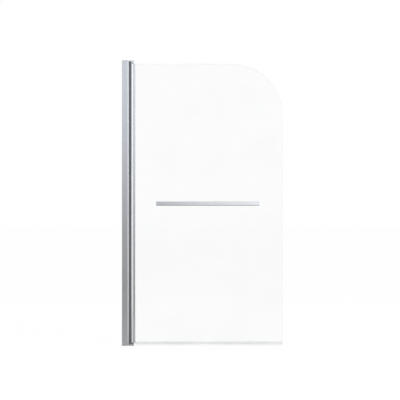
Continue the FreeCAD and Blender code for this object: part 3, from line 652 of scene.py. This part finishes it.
class BATHSCREEN_OT_wall_channel(bpy.types.Operator):
    """Wall channel with rounded corners, its fixing holes, adjustment slots and screw ports"""

    bl_idname = "bathscreen.wall_channel"
    bl_label = "Wall Channel"

    def execute(self, context):
        sizes = context.scene.bath_screen_sizes
        start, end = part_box("wall_profile")
        inside = end.y - sizes.wall_leg
        outline = rounded(mirrored([
            (sizes.wall_web, -inside, 0.0004), (end.x, -inside, sizes.edge),
            (end.x, start.y, sizes.wall_corner), (0.0, start.y, sizes.wall_corner)]))
        ports = [[screw_port(centre, sizes, 0)] for centre in wall_ports(sizes)]
        holes, first_hole, hole_pitch = WALL_HOLES
        hole = placed(drill(sizes.wall_hole, -0.01, 0.01), (0.0, 0.0, first_hole), 1, "Z")
        slots, first_slot, slot_pitch = LOCK_SCREWS
        screw = (low("lock_screws").x + high("lock_screws").x) / 2
        slot = placed(prism("slot", arc((screw - TRAVEL_IN, 0.0), LOCK_SLOT, 90, 270, 16)
                            + arc((screw + TRAVEL_OUT, 0.0), LOCK_SLOT, -90, 90, 16),
                            inside - LAP, end.y + LAP), (0.0, 0.0, first_slot), -1)
        extrude("wall_channel", [[outline], *ports], "Aluminium upright", "wall_channel",
                "wall_profile", cuts=[
                    (hole, holes, (0.0, 0.0, hole_pitch)), (slot, slots, (0.0, 0.0, slot_pitch))])
        return {"FINISHED"}


class BATHSCREEN_OT_wall_caps(bpy.types.Operator):
    """Cover caps on the wall channel's ends, with rounded edges"""

    bl_idname = "bathscreen.wall_caps"
    bl_label = "Wall Channel Caps"

    def execute(self, context):
        sizes = context.scene.bath_screen_sizes
        for end, way in ENDS:
            node = "wall_%s_cap" % end
            start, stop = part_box(node)
            inner, outer = tip("wall_profile", way), tip(node, way)
            parts = [prism("plate", oblong(0.0, start.y, stop.x, stop.y, sizes.wall_corner),
                           inner, outer, sizes.cap_edge)]
            parts += [prism("peg", circle(centre, sizes.port_bore - 0.00005, 24),
                            inner, outer - way * PEG_LENGTH) for centre in wall_ports(sizes)]
            complete("wall_cap_" + end, parts, "Chrome", "wall_channel", node, 40.0)
        return {"FINISHED"}


class BATHSCREEN_OT_hinge_post(bpy.types.Operator):
    """Hinge post with its slot for the seal and its screw port"""

    bl_idname = "bathscreen.hinge_post"
    bl_label = "Hinge Post"

    def execute(self, context):
        sizes = context.scene.bath_screen_sizes
        start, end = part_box("pivot_post")
        leg, front, edge = start.y + sizes.post_wall, end.x - sizes.post_wall, sizes.edge
        outline = rounded(mirrored([
            (front - FOOT_DEPTH, -FOOT_HALF), (front, -FOOT_HALF), (front, -FOOT_MOUTH),
            (end.x, -FOOT_MOUTH, edge), (end.x, start.y, sizes.post_corner),
            (start.x, start.y, edge), (start.x, leg, edge), (front, leg, 0.0005),
            (front, -FOOT_HALF - FOOT_WALL, 0.0004),
            (front - FOOT_DEPTH - FOOT_WALL, -FOOT_HALF - FOOT_WALL, 0.0004)]))
        port = screw_port(post_port(sizes), sizes, 180)
        extrude("hinge_post", [[outline], [port]], "Aluminium upright", "sliding_post",
                "pivot_post")
        return {"FINISHED"}


class BATHSCREEN_OT_hinge_blocks(bpy.types.Operator):
    """Cast hinge blocks with a smooth nose and rounded outer edge"""

    bl_idname = "bathscreen.hinge_blocks"
    bl_label = "Hinge Blocks"

    def execute(self, context):
        sizes = context.scene.bath_screen_sizes
        half = high("pivot_post").y
        room = half - sizes.post_wall - FIT
        front = post_port(sizes)[0] - sizes.port_bore - sizes.port_wall - FIT
        head = high("wall_top_cap").x + HEAD_START
        for end, way in ENDS:
            node = end + "_hinge_block"
            start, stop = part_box(node)
            outer, post_end = tip(node, way), tip("pivot_post", way)
            boss_end = start.z if way > 0 else low("bottom_pivot_bush").z - THRUST_GAP
            nose = stop.x - AXIS
            lean = (math.degrees(math.acos(nose / math.hypot(AXIS - head, half)))
                    + math.degrees(math.atan2(half, AXIS - head)) - 90.0)
            outline = [(head, -half), *arc((AXIS, 0.0), nose, lean - 90, 90 - lean, 56),
                       (head, half)]
            plate = rounded(mirrored([(start.x, -half, 0.001), (head + LAP, -half)]))
            spigot = oblong(start.x, -room, front, room, 0.001)
            parts = [
                prism("head", outline, post_end, outer, sizes.block_edge, 4),
                prism("boss", circle((AXIS, 0.0), nose, 96), boss_end, post_end + way * LAP,
                      0.0003, 2),
                prism("plate", plate, post_end, outer - way * PLATE_DROP, 0.0002, 2),
                prism("spigot", spigot, post_end - way * SPIGOT, post_end + way * LAP)]
            complete(end + "_block", parts, "Cast", "sliding_post", node, 40.0)
        return {"FINISHED"}


class BATHSCREEN_OT_hinge_seal(bpy.types.Operator):
    """Soft strip between post and barrel, with grooves along its sides"""

    bl_idname = "bathscreen.hinge_seal"
    bl_label = "Hinge Seal"

    def execute(self, context):
        sizes = context.scene.bath_screen_sizes
        start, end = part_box("hinge_seal")
        front = high("pivot_post").x
        foot, neck = FOOT_HALF - FIT, FOOT_MOUTH - FIT
        back = Vector((front + SEAL_BACK, -end.y))
        hollow_face = arc((AXIS, 0.0), sizes.barrel_radius + SEAL_GAP,
                          180 + SEAL_LIP_ANGLE, 180, 10)
        lip = arc((AXIS, 0.0), sizes.barrel_radius + SEAL_GAP + SEAL_LIP,
                  180 + SEAL_LIP_ANGLE, 180, 1)[0]
        run = lip - back
        side = [back + run * spot + run.normalized() * step
                + Vector((-run.y, run.x)).normalized() * depth for spot in SEAL_GROOVES
                for step, depth in ((-SEAL_GROOVE, 0.0), (0.0, sizes.seal_rib),
                                    (SEAL_GROOVE, 0.0))]
        outline = rounded(mirrored([
            (start.x, -foot, 0.0004), (front - sizes.post_wall - FIT, -foot, 0.0004),
            (front - sizes.post_wall - FIT, -neck), (back.x, -neck),
            (*back, sizes.seal_edge), *side, (*lip, sizes.seal_edge), *hollow_face[:-1],
            (hollow_face[-1].x, -1e-6)]), 4)
        notch = high("top_hinge_block").x - AXIS + SEAL_GAP
        hollow = oblong(back.x + SEAL_SKIN, -SEAL_HOLLOW, AXIS - notch - SEAL_SKIN, SEAL_HOLLOW,
                        0.0008)
        cuts = [(prism("notch", circle((AXIS, 0.0), notch, 64), tip("glass_profile", way),
                       tip("hinge_seal", way) + way * LAP), 1, (0.0, 0.0, 0.0))
                for way in (-1, 1)]
        extrude("hinge_strip", [[outline, hollow]], "Rubber", "sliding_post",
                "hinge_seal", 40.0, cuts)
        return {"FINISHED"}


class BATHSCREEN_OT_screw_caps(bpy.types.Operator):
    """Domed snap caps over the lock screws"""

    bl_idname = "bathscreen.screw_caps"
    bl_label = "Screw Caps"

    def execute(self, context):
        sizes = context.scene.bath_screen_sizes
        start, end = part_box("lock_screw_caps")
        wall, edge = 0.001, 0.0002
        outer, face = (end.x - start.x) / 2, end.y - sizes.dome
        dome = (outer ** 2 + sizes.dome ** 2) / (2 * sizes.dome)
        crown = [(dome * math.sin(angle), end.y - dome + dome * math.cos(angle)) for angle in
                 [math.asin(outer / dome) * step / 10 for step in range(9, -1, -1)]]
        profile = [(outer - wall, start.y), (outer - edge, start.y), (outer, start.y + edge),
                   (outer, face - 2 * edge), (outer - edge / 2, face), *crown,
                   (0.0, end.y - wall), (outer - wall, face - wall)]
        count, first, pitch = LOCK_SCREWS
        caps = run_tree(turned("cap", profile), "Row of pieces", "Chrome", count=count,
                        first=((start.x + end.x) / 2, 0.0, first), pitch=(0.0, 0.0, pitch))
        complete("screw_caps", [caps], "Chrome", "sliding_post",
                 "lock_screw_caps", 50.0)
        return {"FINISHED"}


class BATHSCREEN_OT_glass_channel(bpy.types.Operator):
    """Extrusion with the barrel round the pivot and the channel for the pane"""

    bl_idname = "bathscreen.glass_channel"
    bl_label = "Glass Channel"

    def execute(self, context):
        sizes = context.scene.bath_screen_sizes
        start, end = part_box("glass_profile")
        back = AXIS + CHANNEL_BACK
        root = math.degrees(math.asin(CHANNEL_NECK / sizes.barrel_radius))
        barrel = arc((AXIS, 0.0), sizes.barrel_radius, root, 360 - root, 80)
        inside = end.y - sizes.channel_wall
        floor = back + sizes.channel_wall
        corner, edge = sizes.channel_corner, sizes.edge
        channel = mirrored([(back, -CHANNEL_NECK), (back, start.y, corner),
                            (end.x, start.y, corner), (end.x, -inside, edge),
                            (floor, -inside, edge)])
        bore = circle((AXIS, 0.0), sizes.barrel_bore, 64)
        # Finished lighter than the other extrusions, a painted highlight on the barrel.
        extrude("glass_channel", [[rounded(barrel + channel), bore]], "Aluminium bright",
                "glass_door", "glass_profile")
        return {"FINISHED"}


class BATHSCREEN_OT_glass_gasket(bpy.types.Operator):
    """Clear strip between the pane and its channel"""

    bl_idname = "bathscreen.glass_gasket"
    bl_label = "Glass Gasket"

    def execute(self, context):
        start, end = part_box("glass_gasket")
        gap = 0.00003
        inside = high("glass_panel").y + gap
        outside = end.y - gap
        outline = rounded(mirrored([
            (start.x + 0.001, -inside), (end.x, -inside, 0.0003), (end.x, -outside, 0.0006),
            (start.x + gap, -outside)]), 4)
        extrude("gasket_strip", [[outline]], "Clear seal", "glass_door",
                "glass_gasket")
        return {"FINISHED"}


class BATHSCREEN_OT_glass_pane(bpy.types.Operator):
    """Pane with its rounded corner, ground edges and holes"""

    bl_idname = "bathscreen.glass_pane"
    bl_label = "Glass Pane"

    def loops(self, sizes, inset):
        """Edge and holes of the pane in X and Z, drawn into the glass by an inset."""
        start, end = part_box("glass_panel")
        foot, corner = sizes.glass_foot, sizes.glass_corner
        first, pitch = rail_pair()
        edge = [(start.x + inset, start.z + inset),
                *arc((end.x - foot, start.z + foot), foot - inset, -90, 0, 8),
                *arc((end.x - corner, end.z - corner), corner - inset, 0, 90, 120),
                (start.x + inset, end.z - inset)]
        return [edge] + [circle((x, first[2]), sizes.glass_hole + inset, 64)[::-1]
                         for x in (first[0], first[0] + pitch[0])]

    def execute(self, context):
        sizes = context.scene.bath_screen_sizes
        front, back = low("glass_panel").y, high("glass_panel").y
        arris = sizes.glass_arris
        depths = (front, front + arris, back - arris, back)
        shape = bmesh.new()
        rims = {-1: [], 1: []}
        for layers in zip(*(self.loops(sizes, inset) for inset in (arris, 0.0, 0.0, arris))):
            rings = [[shape.verts.new((x, depth, z)) for x, z in loop]
                     for depth, loop in zip(depths, layers)]
            pairs = [(index, (index + 1) % len(rings[0])) for index in range(len(rings[0]))]
            for near, far in zip(rings, rings[1:]):
                for index, on in pairs:
                    face = shape.faces.new((near[index], near[on], far[on], far[index]))
                    face.material_index = 1
                    face.smooth = True
            for side, ring in ((-1, rings[0]), (1, rings[-1])):
                rims[side] += [shape.edges.get((ring[index], ring[on])) for index, on in pairs]
        for side, edges in rims.items():
            bmesh.ops.triangle_fill(shape, edges=edges, use_beauty=True, normal=(0.0, side, 0.0))
        mesh = outwards("glass_pane", shape)
        mesh.materials.append(finish("Clear glass"))
        mesh.materials.append(finish("Ground edge"))
        mesh.set_sharp_from_angle(angle=math.radians(30.0))
        dress(linked("glass_pane", mesh), "glass_door", "glass_panel")
        return {"FINISHED"}


class BATHSCREEN_OT_wipe_seal(bpy.types.Operator):
    """Clear strip under the pane, with its hollow bulb and two fins"""

    bl_idname = "bathscreen.wipe_seal"
    bl_label = "Wipe Seal"

    def execute(self, context):
        sizes = context.scene.bath_screen_sizes
        start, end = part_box("bottom_seal")
        inside = high("glass_panel").y + 0.00005
        wide = end.y - FIN_SPREAD
        root, roof = start.z + WIPE_ROOT, low("glass_panel").z - 0.0001
        half = [(wide - sizes.fin, root, 0.0004), (end.y - sizes.fin, start.z),
                (end.y, start.z, 0.0002), (wide, root + WIPE_WALL, 0.0008),
                (wide, end.z, 0.0004), (inside, end.z, 0.0002), (inside, roof)]
        outline = rounded(half + [(-x, *rest) for x, *rest in reversed(half)], 4)
        bulb = oblong(-inside, root + WIPE_WALL, inside, roof - WIPE_WALL, 0.0008, 4)
        extrude("wipe_strip", [[outline, bulb]], "Clear seal", "glass_door",
                "bottom_seal", lying=True)
        return {"FINISHED"}


class BATHSCREEN_OT_towel_rail(bpy.types.Operator):
    """Rectangular rail with rounded corners and its end caps"""

    bl_idname = "bathscreen.towel_rail"
    bl_label = "Towel Rail"

    def execute(self, context):
        sizes = context.scene.bath_screen_sizes
        start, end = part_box("towel_rail")

        def section(inset, radius):
            return oblong(start.y + inset, start.z + inset, end.y - inset, end.z - inset, radius)

        outline = section(0.0, sizes.rail_corner)
        first, pitch = rail_pair()
        hole = placed(drill(BOLT_BORE, end.y - sizes.rail_wall - LAP, end.y + LAP), first)
        extrude("rail_tube", [[outline, section(sizes.rail_wall, sizes.edge)]],
                "Aluminium lying", "glass_door", "towel_rail",
                cuts=[(hole, 2, pitch)], lying=True)

        parts = []
        for outer, inner, plug in (
                (low("rail_end_caps").x, start.x, start.x + RAIL_PLUG),
                (high("rail_end_caps").x, end.x, end.x - RAIL_PLUG)):
            parts += [prism("cover", outline, outer, inner, 0.0005),
                      prism("plug", section(sizes.rail_wall + 0.0001, 0.0), inner, plug)]
        for part in parts:
            part.data.transform(ALONG_X)
        complete("rail_caps", parts, "Chrome", "glass_door", "rail_end_caps", 40.0)
        return {"FINISHED"}


class BATHSCREEN_OT_rail_fixings(bpy.types.Operator):
    """Turned standoffs, socket-headed bolts and soft grommets of the towel rail"""

    bl_idname = "bathscreen.rail_fixings"
    bl_label = "Rail Fixings"

    def radius(self, node):
        return (high(node).z - low(node).z) / 2

    def pair(self, name, profile, steps, material, slot, node, socket=0.0):
        """Two turned pieces at the rail's fixings, with a hexagon socket of a corner radius."""
        first, pitch = rail_pair(self.radius("rail_standoffs"))
        piece = run_tree(turned(name, profile, steps), "Row of pieces", material, count=2,
                         first=first, pitch=pitch)
        cuts = []
        if socket:
            face = high(node).y
            cuts.append((placed(prism("socket", circle((0.0, 0.0), socket, 6), -face - LAP,
                                      SOCKET_DEPTH - face), first, 1), 2, pitch))
        complete(name, [piece], material, "glass_door", node, 40.0, cuts)

    def execute(self, context):
        sizes = context.scene.bath_screen_sizes
        near, far = low("rail_standoffs").y, high("rail_standoffs").y
        radius, groove = self.radius("rail_standoffs"), sizes.standoff_groove
        waist = far - 0.004
        self.pair("standoffs", rounded([
            (BOLT_BORE, near), (radius, near, 0.0005), (radius, waist - groove),
            (radius - groove, waist), (radius, waist + groove), (radius, far, 0.0005),
            (BOLT_BORE, far)], 4), 64, "Chrome", "chrome_trim", "rail_standoffs")

        near, far = low("rail_bolts").y, high("rail_bolts").y
        radius, seat = self.radius("rail_bolts"), high("rail_grommets").y
        socket = sizes.bolt_socket / math.cos(math.radians(30))
        waist, groove, dish = far - 0.0031, 0.0004, 0.0005
        self.pair("bolts", rounded([
            (0.0, near), (BOLT, near, 0.0005), (BOLT, seat), (radius, seat, 0.0004),
            (radius, waist - groove), (radius - groove, waist), (radius, waist + groove),
            (radius, far, sizes.bolt_edge), (socket + dish, far),
            (socket - 0.0001, far - dish), (0.0, far - dish)], 5),
            96, "Chrome", "chrome_trim", "rail_bolts", socket)

        gap = 0.00002
        near, far = low("rail_grommets").y + gap, high("rail_grommets").y - gap
        front, back = low("glass_panel").y - gap, high("glass_panel").y + gap
        sleeve = sizes.glass_hole - 0.0001
        self.pair("grommets", rounded([
            (BOLT_BORE, near), (FIXING, near, 0.0003), (FIXING, front, 0.0002),
            (sleeve, front), (sleeve, back), (BOLT_FLANGE, back, 0.0002),
            (BOLT_FLANGE, far, 0.0003), (BOLT_BORE, far)], 3),
            64, "Clear seal", "clear_seal", "rail_grommets")
        return {"FINISHED"}


class BATHSCREEN_OT_hidden_hardware(bpy.types.Operator):
    """Finishes of the pins, screws, nuts and bushes, which keep their own shapes"""

    bl_idname = "bathscreen.hidden_hardware"
    bl_label = "Hidden Hardware"

    def execute(self, context):
        for name, nodes in (
                ("Steel", ("top_pivot_pin", "bottom_pivot_pin", "hinge_block_screws",
                           "lock_screws", "rail_nuts")),
                ("Nylon", ("top_pivot_bush", "bottom_pivot_bush"))):
            for node in nodes:
                slots = frame["nodes"][node].data.materials
                slots.clear()
                slots.append(finish(name))
        return {"FINISHED"}


# Round card: angle from straight in front, to the right, in degrees, then its level at the foot
# and at CARD_RISE.
CARD_GRADES = (
    (-170, 0.75, 0.88), (-110, 0.85, 0.95), (-65, 0.98, 1.06), (-42, 1.02, 1.12),
    (-32, 0.74, 0.99), (-24, 0.35, 0.72), (-16, 0.19, 0.66), (-7, 0.31, 0.88),
    (0, 0.58, 1.36), (9, 0.78, 1.44), (13, 0.95, 1.48), (17, 1.25, 1.32), (46, 1.22, 1.20),
    (62, 1.15, 1.20), (65, 2.40, 2.40), (77, 2.40, 2.40), (80, 1.15, 1.20), (92, 0.95, 1.00),
    (110, 0.80, 0.85), (150, 0.75, 0.80),
)
CARD_RADIUS, CARD_HEIGHT, CARD_RISE = 2.2, 3.2, 1.6
SIDE_MAT = ((-0.30, -0.20), (0.30, -2.15), (1.60, -1.48), (2.15, -0.30), (2.15, 0.30))
FLAG = ((-0.22, -0.09), (0.30, -0.09), (0.30, -0.01), (-0.22, -0.01))


class BATHSCREEN_OT_studio(bpy.types.Operator):
    """Pale floor, soft lamps, graded card and camera"""

    bl_idname = "bathscreen.studio"
    bl_label = "Studio"

    def execute(self, context):
        scene = context.scene
        studio = scene.bath_screen_studio
        self.make_world(scene, studio)
        self.make_floor(studio, scene.bath_screen_colours.floor)
        self.make_cards(studio)
        self.make_lamps(studio)
        scene.camera = self.make_camera(studio)
        scene.view_settings.view_transform = "Standard"
        return {"FINISHED"}

    def make_lamps(self, studio):
        centre = Vector((studio.view_x, 0.0, 0.7))
        for name, place, level in (("key", (2.6, -3.0, 3.0), studio.key),
                                   ("fill", (-2.6, -2.6, 1.8), studio.fill),
                                   ("back", (0.6, 3.2, 2.8), studio.fill)):
            data = bpy.data.lights.new(name, "AREA")
            data.shape = "DISK"
            data.size = 2.4
            data.energy = level
            lamp = linked(name, data)
            lamp.location = place
            lamp.rotation_euler = (centre - Vector(place)).to_track_quat("-Z", "Y").to_euler()
            lamp.visible_camera = lamp.visible_glossy = lamp.visible_transmission = False

    def make_camera(self, studio):
        data = bpy.data.cameras.new("camera")
        data.sensor_width = 36.0
        data.lens = data.sensor_width * studio.camera_distance / studio.view_width
        data.clip_end = 200.0
        camera = linked("camera", data)
        camera.location = (studio.view_x, -studio.camera_distance, studio.view_z)
        camera.rotation_euler = (math.radians(90.0), 0.0, 0.0)
        return camera

    def seen_directly(self, tree):
        """1 where the camera, a mirror or glass looks, and 0 for light on the object."""
        path = add(tree, "ShaderNodeLightPath").outputs
        return maths(tree, "MAXIMUM",
                     maths(tree, "MAXIMUM", path["Is Camera Ray"], path["Is Glossy Ray"]),
                     path["Is Transmission Ray"])

    def make_world(self, scene, studio):
        scene.world = bpy.data.worlds.new("Studio")
        scene.world.use_nodes = True
        tree = scene.world.node_tree
        tree.nodes.clear()
        level = between(tree, self.seen_directly(tree), studio.ambient, 1.0)
        sky = add(tree, "ShaderNodeBackground", {
            "Color": (1.0, 1.0, 1.0, 1.0), "Strength": level})
        add(tree, "ShaderNodeOutputWorld", {"Surface": sky})

    def make_floor(self, studio, tint):
        def surface(tree):
            patches = effect(tree, "Handling", 0.7)
            shader = principled(tree, {
                "Base Color": tinted(tree, patches, tint, shaded(tint, 0.985)), "Roughness": 0.8})
            glow = between(tree, self.seen_directly(tree), 0.0, studio.floor_glow)
            return mixed(tree, glow, shader, add(tree, "ShaderNodeEmission"))

        floor = prism("floor", circle((0.4, 0.0), 40.0, 96), -0.02, -0.0003)
        floor.data.materials.append(new_material("Floor", surface))

    def make_card(self, studio, name, spots, faces, light):
        """Card that only satin metal sees; light gives the inputs of its glow."""
        def surface(tree):
            path = add(tree, "ShaderNodeLightPath").outputs
            by_glass = maths(tree, "MAXIMUM", path["Is Singular Ray"],
                             path["Is Transmission Ray"])
            by_metal = maths(tree, "SUBTRACT", 1.0, by_glass)
            behind_pane = maths(tree, "GREATER_THAN", path["Transmission Depth"], 2.5)
            seen = maths(tree, "MULTIPLY", maths(tree, "MAXIMUM", by_metal, behind_pane),
                         maths(tree, "GREATER_THAN", path["Glossy Depth"], 0.5))
            return mixed(tree, seen, add(tree, "ShaderNodeBsdfTransparent"),
                         add(tree, "ShaderNodeEmission", light(tree)))

        card = mesh_object(name, spots, [], faces)
        card.data.materials.append(new_material(name, surface))
        card.location.x = studio.view_x
        card.visible_camera = card.visible_diffuse = False
        card.visible_shadow = card.visible_volume_scatter = False

    def graded(self, tree):
        """Glow of the round card, graded round and upwards."""
        place = add(tree, "ShaderNodeTexCoord").outputs["Object"]
        around = add(tree, "ShaderNodeTexGradient", {0: place}, gradient_type="RADIAL")
        upright = add(tree, "ShaderNodeSeparateXYZ", {0: place})
        rise = add(tree, "ShaderNodeMapRange", {
            "Value": upright.outputs["Z"], "From Max": CARD_RISE},
            interpolation_type="SMOOTHSTEP")
        most = max(max(grades[1:]) for grades in CARD_GRADES)
        ramps = []
        for column in (1, 2):
            ramp = add(tree, "ShaderNodeValToRGB", {0: around.outputs["Fac"]})
            stops = ramp.color_ramp.elements
            stops.remove(stops[-1])
            for index, (spot, level) in enumerate(sorted(
                    ((grades[0] + 90.0) % 360.0 / 360.0, grades[column] / most)
                    for grades in CARD_GRADES)):
                stop = stops.new(spot) if index else stops[0]
                stop.position = spot
                stop.color = (level, level, level, 1.0)
            ramps.append(ramp)
        grade = add(tree, "ShaderNodeMix", {"Factor": rise, "A": ramps[0], "B": ramps[1]},
                    data_type="FLOAT")
        return {"Strength": maths(tree, "MULTIPLY", grade, most),
                "Color": tinted(tree, rise, (0.99, 0.99, 1.0), (0.94, 0.99, 1.06))}

    def make_cards(self, studio):
        """Round wall of card, a ceiling, two mats and a dark flag."""
        steps = 96
        ring = circle((0.0, 0.0), CARD_RADIUS, steps)
        spots = [(x, y, z) for x, y in ring for z in (0.0, CARD_HEIGHT)]
        faces = [(2 * step, 2 * step + 1, 2 * ((step + 1) % steps) + 1, 2 * ((step + 1) % steps))
                 for step in range(steps)]
        self.make_card(studio, "card", spots, faces, self.graded)
        for name, height, shape in (("ceiling", CARD_HEIGHT, ring), ("mat", -0.0002, ring),
                                    ("side_mat", -0.0001, SIDE_MAT), ("flag", 0.67, FLAG)):
            glow = {"Strength": getattr(studio, name), "Color": (0.965, 0.98, 1.0, 1.0)}
            self.make_card(studio, name, [(x, y, height) for x, y in shape],
                           [tuple(range(len(shape)))], lambda tree: glow)


class BATHSCREEN_PT_panel(bpy.types.Panel):
    """Lists the pieces, sizes, colours and studio of the bath screen"""

    bl_idname = "BATHSCREEN_PT_panel"
    bl_label = "Bath Screen"
    bl_space_type = "VIEW_3D"
    bl_region_type = "UI"
    bl_category = "Bath Screen"

    def draw(self, context):
        pieces = self.layout.column(align=True)
        for operator in OPERATORS:
            pieces.operator(operator.bl_idname)
        for name, label, _ in GROUPS:
            group = getattr(context.scene, name)
            box = self.layout.box()
            box.label(text=label)
            for item in group.bl_rna.properties.keys():
                if item not in ("rna_type", "name"):
                    box.prop(group, item)


OPERATORS = (
    BATHSCREEN_OT_wall_channel,
    BATHSCREEN_OT_wall_caps,
    BATHSCREEN_OT_hinge_post,
    BATHSCREEN_OT_hinge_blocks,
    BATHSCREEN_OT_hinge_seal,
    BATHSCREEN_OT_screw_caps,
    BATHSCREEN_OT_glass_channel,
    BATHSCREEN_OT_glass_gasket,
    BATHSCREEN_OT_glass_pane,
    BATHSCREEN_OT_wipe_seal,
    BATHSCREEN_OT_towel_rail,
    BATHSCREEN_OT_rail_fixings,
    BATHSCREEN_OT_hidden_hardware,
    BATHSCREEN_OT_studio,
)
GROUPS = (
    ("bath_screen_sizes", "Sizes", BathScreenSizes),
    ("bath_screen_colours", "Colours", BathScreenColours),
    ("bath_screen_studio", "Studio", BathScreenStudio),
)


def register():
    for name, _, group in GROUPS:
        bpy.utils.register_class(group)
        setattr(bpy.types.Scene, name, bpy.props.PointerProperty(type=group))
    for each in (*OPERATORS, BATHSCREEN_PT_panel):
        bpy.utils.register_class(each)


def unregister():
    for each in reversed((*OPERATORS, BATHSCREEN_PT_panel)):
        bpy.utils.unregister_class(each)
    for name, _, group in reversed(GROUPS):
        delattr(bpy.types.Scene, name)
        bpy.utils.unregister_class(group)


def main():
    register()
    for operator in OPERATORS:
        folder, name = operator.bl_idname.split(".")
        getattr(getattr(bpy.ops, folder), name)()


if __name__ == "__main__":
    main()
